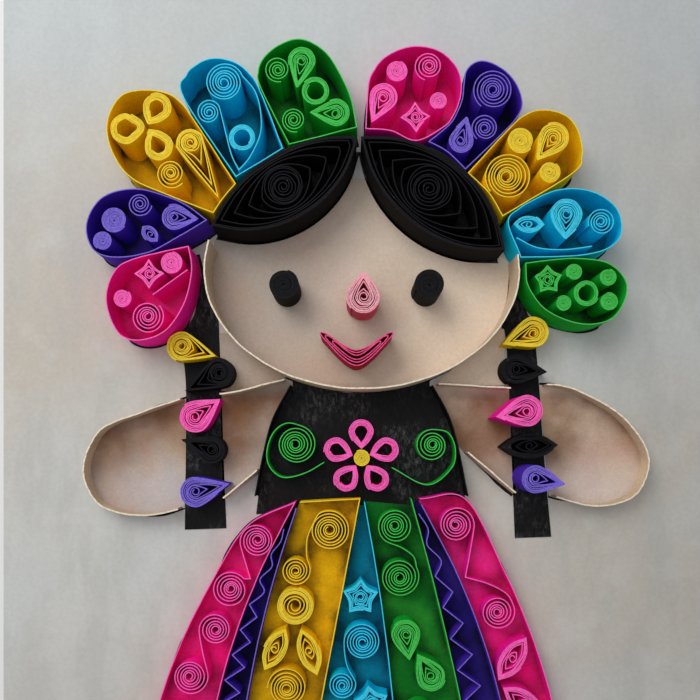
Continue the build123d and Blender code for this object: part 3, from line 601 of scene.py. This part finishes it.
def group_with(name, inputs, outputs):
    """A new shader node group and its input and output nodes."""
    group = bpy.data.node_groups.new(name, "ShaderNodeTree")
    for label, kind, value in inputs:
        socket = group.interface.new_socket(label, in_out="INPUT", socket_type=kind)
        socket.default_value = value
    for label, kind in outputs:
        group.interface.new_socket(label, in_out="OUTPUT", socket_type=kind)
    return group, group.nodes.new("NodeGroupInput"), group.nodes.new("NodeGroupOutput")


def noise(tree, scale, detail=3.0, roughness=0.55, coordinates=None):
    node = tree.nodes.new("ShaderNodeTexNoise")
    node.inputs["Scale"].default_value = scale
    node.inputs["Detail"].default_value = detail
    node.inputs["Roughness"].default_value = roughness
    if coordinates is None:
        coordinates = tree.nodes.new("ShaderNodeTexCoord").outputs["Object"]
    tree.links.new(coordinates, node.inputs["Vector"])
    return node.outputs["Fac"]


def mapped(tree, value, low, high, new_low=0.0, new_high=1.0):
    node = tree.nodes.new("ShaderNodeMapRange")
    node.interpolation_type = "SMOOTHSTEP"
    for label, number in (("From Min", low), ("From Max", high), ("To Min", new_low), ("To Max", new_high)):
        node.inputs[label].default_value = number
    tree.links.new(value, node.inputs["Value"])
    return node.outputs["Result"]


def blended(tree, share, first, second, how="MIX"):
    """A colour between two, each a socket or a colour. The share is a socket or a number."""
    node = tree.nodes.new("ShaderNodeMix")
    node.data_type = "RGBA"
    node.blend_type = how
    for value, label in ((share, 0), (first, 6), (second, 7)):
        if isinstance(value, bpy.types.NodeSocket):
            tree.links.new(value, node.inputs[label])
        else:
            node.inputs[label].default_value = value
    return node.outputs[2]


def product(tree, first, second):
    node = tree.nodes.new("ShaderNodeMath")
    node.operation = "MULTIPLY"
    for place, value in enumerate((first, second)):
        if isinstance(value, bpy.types.NodeSocket):
            tree.links.new(value, node.inputs[place])
        else:
            node.inputs[place].default_value = value
    return node.outputs[0]


print("a mid grey is", round(linear(128, 128, 128)[0], 3), "in linear values")

# %% [markdown]
# A node group is built once and placed in many materials, so that every paper frays and grains alike.
# A group could hold the whole shader, but then its materials could differ in little, so it only puts out
# masks, tones and a normal. The scales are high because the object is small: they count per metre.

# %% Shared effects as node groups
cut_edge, _, edge_out = group_with("cut_edge", [], [("Mask", "NodeSocketFloat")])
geometry = cut_edge.nodes.new("ShaderNodeNewGeometry")
split = cut_edge.nodes.new("ShaderNodeSeparateXYZ")
cut_edge.links.new(geometry.outputs["True Normal"], split.inputs[0])
facing_up = mapped(cut_edge, split.outputs["Z"], 0.6, 0.85)
frayed = mapped(cut_edge, noise(cut_edge, 2600, 2.0), 0.3, 0.6, 0.55, 1.0)
cut_edge.links.new(product(cut_edge, facing_up, frayed), edge_out.inputs["Mask"])

fibres, fibre_in, fibre_out = group_with(
    "paper_fibres",
    [
        ("Fine Scale", "NodeSocketFloat", 1500.0),
        ("Bump", "NodeSocketFloat", 0.25),
        ("Grain", "NodeSocketFloat", 1.0),
    ],
    [("Tone", "NodeSocketFloat"), ("Blotches", "NodeSocketFloat"), ("Normal", "NodeSocketVector")],
)
fine_noise = fibres.nodes.new("ShaderNodeTexNoise")
fine_noise.inputs["Detail"].default_value = 4.0
fine_noise.inputs["Roughness"].default_value = 0.7
place = fibres.nodes.new("ShaderNodeTexCoord")
fibres.links.new(place.outputs["Object"], fine_noise.inputs["Vector"])
fibres.links.new(fibre_in.outputs["Fine Scale"], fine_noise.inputs["Scale"])
tone = mapped(fibres, fine_noise.outputs["Fac"], 0.25, 0.75, -0.13, 0.13)
grained = product(fibres, tone, fibre_in.outputs["Grain"])
raised = fibres.nodes.new("ShaderNodeMath")
raised.inputs[1].default_value = 1.0
fibres.links.new(grained, raised.inputs[0])
fibres.links.new(raised.outputs[0], fibre_out.inputs["Tone"])
fibres.links.new(mapped(fibres, noise(fibres, 90, 4.0), 0.35, 0.65), fibre_out.inputs["Blotches"])
bump = fibres.nodes.new("ShaderNodeBump")
bump.inputs["Distance"].default_value = 0.05 * mm
fibres.links.new(fibre_in.outputs["Bump"], bump.inputs["Strength"])
fibres.links.new(fine_noise.outputs["Fac"], bump.inputs["Height"])
fibres.links.new(bump.outputs["Normal"], fibre_out.inputs["Normal"])
print("groups:", cut_edge.name, fibres.name)

# %% [markdown]
# A strip's colour is its dyed face, darker where the dye blotches, and its paler cut edge on top.
# Black paper is scuffed with whitish specks, which the same recipe gives with other numbers.

# %% Strip paper


def new_material(name):
    """A material with an empty tree, its Principled shader and its output."""
    material = bpy.data.materials.new(name)
    material.use_nodes = True
    tree = material.node_tree
    shader = tree.nodes["Principled BSDF"]
    shader.inputs["Specular IOR Level"].default_value = 0.12
    return material, tree, shader


def with_group(tree, group, **values):
    node = tree.nodes.new("ShaderNodeGroup")
    node.node_tree = group
    for label, value in values.items():
        node.inputs[label.replace("_", " ")].default_value = value
    return node


def finished(tree, shader, fibre_node, colour, roughness):
    """Gives the shader a colour with the fibres' tone in it, their normal and a roughness."""
    toned = blended(tree, 1.0, colour, fibre_node.outputs["Tone"], "MULTIPLY")
    tree.links.new(toned, shader.inputs["Base Color"])
    tree.links.new(fibre_node.outputs["Normal"], shader.inputs["Normal"])
    shader.inputs["Roughness"].default_value = roughness


def strip_paper(name, face, edge, blotch=0.18, roughness=0.78, specks=0.0):
    """Dyed paper with a paler cut edge."""
    material, tree, shader = new_material(name)
    edge_node = with_group(tree, cut_edge)
    fibre_node = with_group(tree, fibres)
    deep = tuple(channel * (1 - blotch) for channel in face[:3]) + (1.0,)
    dyed = blended(tree, fibre_node.outputs["Blotches"], face, deep)
    colour = blended(tree, edge_node.outputs["Mask"], dyed, edge)
    if specks:
        speck = mapped(tree, noise(tree, 1100, 5.0, 0.8), 0.64, 0.74, 0.0, specks)
        colour = blended(tree, speck, colour, linear(170, 168, 165))
    finished(tree, shader, fibre_node, colour, roughness)
    return material


strip_colours = {
    "pink": ((255, 22, 164), (250, 106, 186)),
    "yellow": ((255, 206, 0), (232, 204, 60)),
    "blue": ((0, 202, 242), (70, 202, 228)),
    "green": ((14, 172, 46), (74, 192, 84)),
    "purple": ((76, 40, 182), (126, 108, 208)),
    "black": ((7, 7, 8), (24, 24, 27)),
    "rose": ((170, 14, 58), (238, 84, 134)),
    "blush": ((222, 92, 116), (240, 172, 182)),
    "skin": ((214, 190, 160), (232, 220, 198)),
}
strip_materials = {}
for colour, (face_colour, edge_colour) in strip_colours.items():
    speckled = 0.5 if colour == "black" else 0.0
    strip_materials[colour] = strip_paper(
        "strip_" + colour, linear(*face_colour), linear(*edge_colour), specks=speckled
    )
print(len(strip_materials), "kinds of strip paper")

# %% [markdown]
# The floors are paper laid flat. Glue leaves large soft stains on them, and they are darkened along the
# strips, partly by the dark ink drawn there and partly by painted shade where the strips stand close. The
# Ambient Occlusion node tells how closed in a point is, so it finds where strips stand near, and that place
# gets the dark colour. The darkening stays the same from every side, because it depends on the shape.

# %% Coloured floors with painted shade along the strips
ink_and_shade_reach = 4 * mm


def floor_paper(name, colour, stain, dark_edging, stain_share=0.6, roughness=0.75):
    """Flat paper with large soft stains in a second colour, darkened along the strips around it by marker
    and by painted shade.
    """
    material, tree, shader = new_material(name)
    fibre_node = with_group(tree, fibres, Bump=0.3)
    cloud = mapped(tree, noise(tree, 70, 5.0, 0.6), 0.38, 0.66, 0.0, stain_share)
    clouded = blended(tree, cloud, colour, stain)
    # Painted shade and ink: the Ambient Occlusion node darkens the floor where strips stand close.
    nook = tree.nodes.new("ShaderNodeAmbientOcclusion")
    nook.inputs["Distance"].default_value = ink_and_shade_reach
    nook.samples = 6
    uneven = mapped(tree, noise(tree, 90, 4.0), 0.35, 0.65, 0.25, 1.0)
    inked_and_shaded = product(tree, mapped(tree, nook.outputs["AO"], 0.92, 0.55), uneven)
    clouded = blended(tree, inked_and_shaded, clouded, dark_edging)
    finished(tree, shader, fibre_node, clouded, roughness)
    return material


print("ink reaches", ink_and_shade_reach, "m from the strips")

# %% [markdown]
# The blouse and the braids are black paper rubbed pale by hand. A noise that is squeezed one way and
# turned gives scuffs with a direction, and a second, larger noise says where the paper was rubbed.

# %% Rubbed black paper
scuff_turn = 0.6


def rubbed_black(name):
    """Black paper with whitish scuffs along one direction and fine specks."""
    material, tree, shader = new_material(name)
    fibre_node = with_group(tree, fibres, Bump=0.4)
    place = tree.nodes.new("ShaderNodeTexCoord")
    stretch = tree.nodes.new("ShaderNodeMapping")
    stretch.inputs["Scale"].default_value = (1.0, 0.45, 1.0)
    stretch.inputs["Rotation"].default_value = (0.0, 0.0, scuff_turn)
    tree.links.new(place.outputs["Object"], stretch.inputs["Vector"])
    scuffs = mapped(tree, noise(tree, 1000, 9.0, 0.85, stretch.outputs[0]), 0.46, 0.66)
    patches = mapped(tree, noise(tree, 54, 3.0), 0.42, 0.64, 0.03, 0.6)
    specks = mapped(tree, noise(tree, 1900, 4.0, 0.8), 0.68, 0.78, 0.0, 0.35)
    rubbed = blended(tree, product(tree, scuffs, patches), linear(12, 11, 12), linear(112, 112, 114))
    speckled = blended(tree, specks, rubbed, linear(130, 126, 122))
    tree.links.new(speckled, shader.inputs["Base Color"])
    tree.links.new(fibre_node.outputs["Normal"], shader.inputs["Normal"])
    shader.inputs["Roughness"].default_value = 0.62
    return material


print("scuffs are turned by", scuff_turn, "radians")

# %% [markdown]
# The face and arms are ivory card tinted by hand, and painted shade is laid over the tint. The brown lies
# where the rims' walls stand on the upper left of a point, as tint and as the rims' painted shadow from the
# light on the upper left, so the Ambient Occlusion node looks along a slanted normal. Object coordinates,
# which are metres from the card's middle, make the tint and painted shade fainter on the face than on the
# arms, and the arms' lower part cooler.

# %% Tinted skin with painted shade
tint_and_shade_reach = 17 * mm


def tinted_and_shaded_skin(name):
    """Ivory card tinted by hand, with painted shade: brown beside the rims on the upper left, which is
    partly tint and partly the rims' painted shadow, paler to the right, and cooler on the arms' lower part."""
    material, tree, shader = new_material(name)
    fibre_node = with_group(tree, fibres, Bump=0.2, Grain=0.6)
    place = tree.nodes.new("ShaderNodeTexCoord")
    split = tree.nodes.new("ShaderNodeSeparateXYZ")
    tree.links.new(place.outputs["Object"], split.inputs[0])
    leftward = mapped(tree, split.outputs["X"], 30 * mm, -56 * mm, 0.0, 0.8)
    on_face = mapped(tree, split.outputs["Y"], 5 * mm, 11 * mm)
    fainter_to_right = mapped(tree, split.outputs["X"], -5 * mm, 22 * mm, 0.6, 0.8)
    less_on_face = mapped(tree, product(tree, on_face, fainter_to_right), 0.0, 1.0, 1.0, 0.0)
    # The slanted normal points to the lamp on the upper left, so the brown beside the rims is painted
    # shadow as well as tint.
    slanted = tree.nodes.new("ShaderNodeCombineXYZ")
    for axis, value in enumerate((-0.72, 0.5, 0.48)):
        slanted.inputs[axis].default_value = value
    nook = tree.nodes.new("ShaderNodeAmbientOcclusion")
    nook.inputs["Distance"].default_value = tint_and_shade_reach
    nook.samples = 8
    tree.links.new(slanted.outputs[0], nook.inputs["Normal"])
    beside = mapped(tree, nook.outputs["AO"], 0.82, 0.36)
    cloudy = mapped(tree, noise(tree, 60, 4.0, 0.55), 0.3, 0.66, 0.5, 1.0)
    pink = mapped(tree, noise(tree, 52, 3.0, 0.5), 0.5, 0.66, 0.0, 0.5)
    warm = mapped(tree, noise(tree, 44, 3.0, 0.5), 0.42, 0.62, 0.0, 0.7)
    brown = blended(tree, on_face, linear(122, 84, 58), linear(132, 112, 102))
    colour = blended(tree, leftward, linear(228, 208, 186), linear(166, 158, 152))
    colour = blended(tree, product(tree, warm, less_on_face), colour, linear(206, 176, 142))
    colour = blended(tree, product(tree, pink, less_on_face), colour, linear(204, 160, 146))
    cool = mapped(tree, split.outputs["Y"], -4 * mm, -20 * mm, 0.0, 0.5)
    colour = blended(tree, cool, colour, linear(208, 203, 206))
    less_below = mapped(tree, split.outputs["Y"], -20 * mm, -4 * mm, 0.4, 1.0)
    # The stain is the hand's tint together with the rims' painted shadow.
    stain = product(tree, product(tree, beside, cloudy), product(tree, less_on_face, less_below))
    colour = blended(tree, stain, colour, brown)
    finished(tree, shader, fibre_node, colour, 0.75)
    return material


print("the tint reaches", tint_and_shade_reach, "m from the rims")

# %% [markdown]
# Each floor names its colour, the colour of its stains and that of the ink and painted shade along its
# strips.

# %% Floor colours
floor_materials = {
    "pink": floor_paper("floor_pink", linear(250, 18, 132), linear(214, 56, 146), linear(150, 12, 72)),
    "yellow": floor_paper("floor_yellow", linear(232, 182, 4), linear(178, 138, 6), linear(70, 54, 12)),
    "blue": floor_paper("floor_blue", linear(0, 118, 146), linear(6, 150, 168), linear(0, 36, 54)),
    "green": floor_paper("floor_green", linear(10, 112, 32), linear(50, 150, 46), linear(6, 26, 14)),
    "purple": floor_paper("floor_purple", linear(36, 22, 112), linear(62, 40, 140), linear(10, 7, 26)),
    "black": rubbed_black("floor_black"),
    "skin": tinted_and_shaded_skin("floor_skin"),
}
print(len(floor_materials), "kinds of floor paper")

# %% [markdown]
# The sheet under the doll is thick pale card. It has warm and cool clouds, and faint streaks along its
# grain, which a noise squeezed to one side gives. The marker is plain dark ink with the fibres under it.

# %% The card and the marker


def pale_card(name):
    """Thick pale card: clouds, faint upright streaks and a fine grain, cooler towards the top, and darker
    at the right as painted shade where the light falls off."""
    material, tree, shader = new_material(name)
    fibre_node = with_group(tree, fibres, Bump=0.2, Grain=0.35, Fine_Scale=900.0)
    place = tree.nodes.new("ShaderNodeTexCoord")
    stretch = tree.nodes.new("ShaderNodeMapping")
    stretch.inputs["Scale"].default_value = (1.0, 0.3, 1.0)
    tree.links.new(place.outputs["Object"], stretch.inputs["Vector"])
    warm = mapped(tree, noise(tree, 11, 3.0, 0.5), 0.38, 0.62, 0.0, 1.0)
    colour = blended(tree, warm, linear(196, 197, 194), linear(192, 184, 172))
    streaks = mapped(tree, noise(tree, 120, 4.0, 0.6, stretch.outputs[0]), 0.42, 0.66, 0.0, 0.5)
    colour = blended(tree, streaks, colour, linear(180, 178, 172))
    blots = mapped(tree, noise(tree, 45, 4.0, 0.6), 0.5, 0.7, 0.0, 0.5)
    colour = blended(tree, blots, colour, linear(204, 202, 198))
    split = tree.nodes.new("ShaderNodeSeparateXYZ")
    tree.links.new(place.outputs["Object"], split.inputs[0])
    towards_top = mapped(tree, split.outputs["Y"], 20 * mm, 120 * mm, 0.0, 0.6)
    colour = blended(tree, towards_top, colour, linear(192, 199, 202))
    # Painted shade: the card is darker towards the right, where the light falls off.
    painted_shade_right = mapped(tree, split.outputs["X"], 25 * mm, 72 * mm, 1.0, 0.87)
    colour = blended(tree, 1.0, colour, painted_shade_right, "MULTIPLY")
    finished(tree, shader, fibre_node, colour, 0.85)
    return material


card = pale_card("card")
marker = strip_paper("marker", linear(24, 22, 26), linear(30, 28, 32))
print("materials:", card.name, marker.name)

# %% [markdown]
# ## Dressing the strips and rolls
#
# Each CAD node gets one piece that stands for it. The node's name says what colour it has.

# %% The colour of each node


def colour_of(node):
    for colour in ("pink", "yellow", "blue", "green", "purple", "black"):
        if colour in node:
            return colour
    special = {"eyes": "black", "nose": "blush", "mouth": "rose", "flower_petals": "pink"}
    special.update({"flower_centre": "yellow", "blouse_scrolls": "green", "blouse_strips": "black"})
    special.update({"hair_coil_left": "black", "hair_coil_right": "black"})
    return special.get(node, "skin")


print("the nose is", colour_of("nose"))

# %% [markdown]
# Three kinds of piece are made in a way of their own. The hair is rolled around an eye that isn't its
# middle. The rims of the face and arms are thick card, torn by hand. The mouth is a strip folded to a
# crescent with two more inside it, so it is drawn as three closed strips.

# %% Hair, rims and mouth
hair_eyes = ((-19.9, 20.9), (17.1, 20.6))
rough_rims = ("head_rim", "arm_rim_left", "arm_rim_right")


def hair_roll(solid):
    """The hair is one long strip: a wide round spiral, then many turns pressed into a marquise."""
    middle = solid["loops"][0].mean(axis=0)
    eyes = [head_centre + np.array(eye) * mm for eye in hair_eyes]
    eye = min(eyes, key=lambda place: np.linalg.norm(place - middle))
    return pinched_roll(solid, turns=14, core=0.05, packed=0.45, eye=eye, round_until=0.6)


def rough_rim(solid):
    """A rim of thick card torn by hand, with a rough top edge."""
    line = centreline(solid["loops"][0])
    line = smooth(line, False, 0.35 * mm)
    return strip(line, solid["foot"], solid["top"], lean=0.08 * mm, ragged=0.28 * mm, thickness=0.4 * mm)


def mouth_roll(solid):
    """The mouth: a strip folded to a crescent, with two smaller crescents inside."""
    loop = moved_sideways(solid["loops"][0], edge_inset)
    order = np.argsort(loop[:, 1])
    bottom, inner = loop[order[0]], loop[order[1]]
    left, right = loop[np.argmin(loop[:, 0])], loop[np.argmax(loop[:, 0])]
    vertices, faces = [], []
    for low_share, high_share, reach in ((0.12, 1.0, 0.9), (0.3, 0.86, 0.78), (0.46, 0.7, 0.6)):
        middle = (left + right) / 2
        ends = [middle + (end - middle) * reach for end in (left, right)]
        drop = np.array((0.0, -1.7 * mm)) * reach
        low = bottom + (inner - bottom) * low_share
        high = bottom + (inner - bottom) * high_share
        sink = (high - middle) * (1 - reach) * 1.1
        first, last = ends[0] + sink, ends[1] + sink
        knots = np.array([first, first + drop, low, last + drop, last, high])
        outline = smooth(knots, True, 0.4 * mm, corners=())
        points, quads = strip(outline, solid["foot"], solid["top"], True, 0.02 * mm)
        faces += [tuple(corner + sum(map(len, vertices)) for corner in quad) for quad in quads]
        vertices.append(points)
    return np.concatenate(vertices), faces


own_way = {"hair_coil_left": hair_roll, "hair_coil_right": hair_roll, "mouth": mouth_roll}
own_way.update({rim: rough_rim for rim in rough_rims})
print(len(own_way), "nodes have a way of their own")

# %% [markdown]
# Now every node but the card and the floors is dressed.

# %% Every strip and roll
triangles = 0
for node in sorted(nodes):
    if node == "backing_sheet" or node.startswith("floor_"):
        continue
    recipe = own_way.get(node, dressed)
    piece = mesh_piece("fine_" + node, [recipe(solid) for solid in solids_of(node)], node)
    piece.data.materials.append(strip_materials[colour_of(node)])
    triangles += sum(len(face.vertices) - 2 for face in piece.data.polygons)
print("strips and rolls have", triangles, "triangles")

# %% [markdown]
# ## Floors and marker lines
#
# A floor reaches under the strips around it, so no card shows between them. The blouse's black paper
# also runs down to the skirt, so it gets a hem.

# %% Shapes of the floors


def flat_piece(outline, foot, top):
    """Vertices and faces of a flat sheet with an outline."""
    count = len(outline)
    upper = np.column_stack((outline, np.full(count, top)))
    lower = np.column_stack((outline, np.full(count, foot)))
    faces = [tuple(range(count))]
    for index in range(count):
        after = (index + 1) % count
        faces.append((index + count, after + count, after, index))
    return np.concatenate((upper, lower)), faces


def reach_of(colour, outline):
    """How far a floor is widened to meet its strips: the skirt's floors more than the petals'."""
    if colour == "skin":
        return 0.7 * mm
    if colour != "black" and outline[:, 1].mean() < -30 * mm:
        return 0.72 * mm if colour in ("pink", "yellow") else 0.45 * mm
    return 0.34 * mm


def bodice_hem(outline):
    """The strip of black paper that runs from the blouse down to the skirt's edge."""
    low = outline[:, 1].min()
    foot_points = outline[outline[:, 1] < low + 1 * mm]
    left, right = foot_points[:, 0].min(), foot_points[:, 0].max()
    foot = [(left - 0.8 * mm, low - 5.2 * mm), (right + 1.3 * mm, low - 3.2 * mm)]
    return np.array([(left, low + 1 * mm), *foot, (right, low + 1 * mm)])


print("the skin's floors are widened by", reach_of("skin", None), "m")

# %% [markdown]
# The tinted card also shows between the head, the braids and the arms, and beside the hair's tips. Those
# places are given in millimetres from the middle of the head. They lie a little lower than the floors,
# as the hem does, so that no two faces share one level where they overlap.

# %% Floors
tint_drop = 0.06 * mm
hem_drop = 0.04 * mm
tinted_places = [
    [(-39.6, -14.6), (-34.6, -15.0), (-19.4, -26.4), (-33.7, -31.0), (-39.6, -30.0)],
    [(38.6, -10.6), (38.8, -28.8), (20.0, -28.6), (32.4, -17.4)],
    [(-39.9, 5.6), (-39.6, 10.4), (-34.0, 11.6), (-30.0, 8.0), (-36.0, 3.0)],
    [(33.0, 1.0), (31.0, 6.6), (36.8, 6.6), (40.0, 4.4), (40.0, 1.0)],
]
for node in sorted(nodes):
    if not node.startswith("floor_"):
        continue
    colour = node[len("floor_"):]
    sheets = []
    if colour == "skin":
        for place in tinted_places:
            corners = head_centre + np.array(place) * mm
            sheets.append(flat_piece(corners, card_top, colour_top - tint_drop))
    for solid in solids_of(node):
        outline = solid["loops"][0]
        if colour == "black" and np.ptp(outline[:, 0]) > 50 * mm:
            sheets.append(flat_piece(bodice_hem(outline), card_top, solid["top"] - hem_drop))
        outline = smooth(moved_sideways(outline, -reach_of(colour, outline)), True, 1.0 * mm)
        sheets.append(flat_piece(outline, card_top, solid["top"]))
    piece = mesh_piece("fine_" + node, sheets, node)
    piece.data.materials.append(floor_materials[colour])
nodes["backing_sheet"].data.materials.clear()
nodes["backing_sheet"].data.materials.append(card)
print("floors laid")

# %% [markdown]
# Each petal, arm and the skirt was first drawn on the card with a marker, and parts of the line still
# show outside the strips. It is a flat band just above the card, so that it needs no picture texture.

# %% Marker lines on the card
ink_level = card_top + 0.03 * mm


def marker_line(outline, width):
    """A flat line along an outline, whose width comes and goes as a hand-drawn one does."""
    count = len(outline)
    lengths = np.concatenate(([0], np.cumsum(np.linalg.norm(np.diff(outline, axis=0), axis=1))))
    strength = np.clip(0.55 + 0.6 * wave(lengths, 31 * mm, chance), 0.04, 1.0)
    outer = moved_sideways(outline, -width)
    outer = outline + (outer - outline) * strength[:, None]
    level = np.full(count, ink_level)
    vertices = np.concatenate((np.column_stack((outline, level)), np.column_stack((outer, level))))
    faces = [(k, (k + 1) % count, (k + 1) % count + count, k + count) for k in range(count)]
    return vertices, faces


outlined = ("arm_rim_left", "arm_rim_right", "skirt_pink_left_strip", "skirt_pink_right_strip")
drawn = []
for node in sorted(nodes):
    wide = 1.0 * mm if node.startswith("arm_rim") else 0.75 * mm
    if node.endswith("_rim") or node in outlined:
        for solid in solids_of(node):
            drawn.append(marker_line(smooth(solid["loops"][0], True), wide))
dark_edging = mesh_piece("marker_lines", drawn)
dark_edging.data.materials.append(marker)
print(len(drawn), "marker lines")

# %% [markdown]
# ## Table, light and camera
#
# The picture lies on a plain pale table.

# %% Table
table_half = 3
table_level = -0.0002
stage_mesh = bpy.data.meshes.new("table")
table_corners = [
    (side * table_half, end * table_half, table_level)
    for side, end in ((-1, -1), (1, -1), (1, 1), (-1, 1))
]
stage_mesh.from_pydata(table_corners, [], [(0, 1, 2, 3)])
table = bpy.data.objects.new("table", stage_mesh)
bpy.context.scene.collection.objects.link(table)
table_material, _, table_shader = new_material("pale_table")
table_shader.inputs["Base Color"].default_value = linear(226, 226, 224)
table_shader.inputs["Roughness"].default_value = 0.8
table.data.materials.append(table_material)
print("the table is", 2 * table_half, "m wide")

# %% [markdown]
# The photograph has soft light from the upper left, as from a window, and weak light from above. Large
# square lamps give soft shadows, and the world's even light keeps the deep coils from going black.

# %% Lamps and daylight


def area_lamp(name, place, aim, size, power, colour):
    """A square lamp that faces a point."""
    data = bpy.data.lights.new(name, "AREA")
    data.shape = "SQUARE"
    data.size = size
    data.energy = power
    data.color = colour
    lamp = bpy.data.objects.new(name, data)
    lamp.location = place
    lamp.rotation_euler = (Vector(aim) - Vector(place)).to_track_quat("-Z", "Y").to_euler()
    bpy.context.scene.collection.objects.link(lamp)
    return lamp


area_lamp("window", (-0.3, 0.36, 0.42), (-0.02, 0.04, 0.0), 0.4, 2.3, (1.0, 0.99, 0.97))
area_lamp("ceiling", (-0.05, 0.04, 0.46), (-0.03, 0.0, 0.0), 0.3, 0.42, (0.98, 0.99, 1.0))
world = bpy.data.worlds.new("daylight")
world.use_nodes = True
world.node_tree.nodes["Background"].inputs["Color"].default_value = (0.92, 0.95, 1.0, 1.0)
world.node_tree.nodes["Background"].inputs["Strength"].default_value = 0.42
bpy.context.scene.world = world
print(len(bpy.data.lights), "lamps")

# %% [markdown]
# The photograph is taken from straight above, close to the sheet, so the walls of the crown lean
# outwards in it. The camera stands 174 mm over the blouse, and its view is shifted up to the picture's
# middle. A camera that is tilted instead would make the sheet's sides run together.

# %% Camera
camera_height = 173.9 * mm
camera_data = bpy.data.cameras.new("camera")
camera_data.lens = 33.1
camera_data.sensor_width = 36.0
camera_data.shift_y = 0.136
camera_data.clip_start = 0.005
camera_data.clip_end = 20.0
camera = bpy.data.objects.new("camera", camera_data)
camera.location = (-11.4 * mm, -6.5 * mm, card_top + camera_height)
bpy.context.scene.collection.objects.link(camera)
bpy.context.scene.camera = camera
bpy.context.scene.view_settings.view_transform = "Standard"
print("camera", tuple(round(value, 4) for value in camera.location))
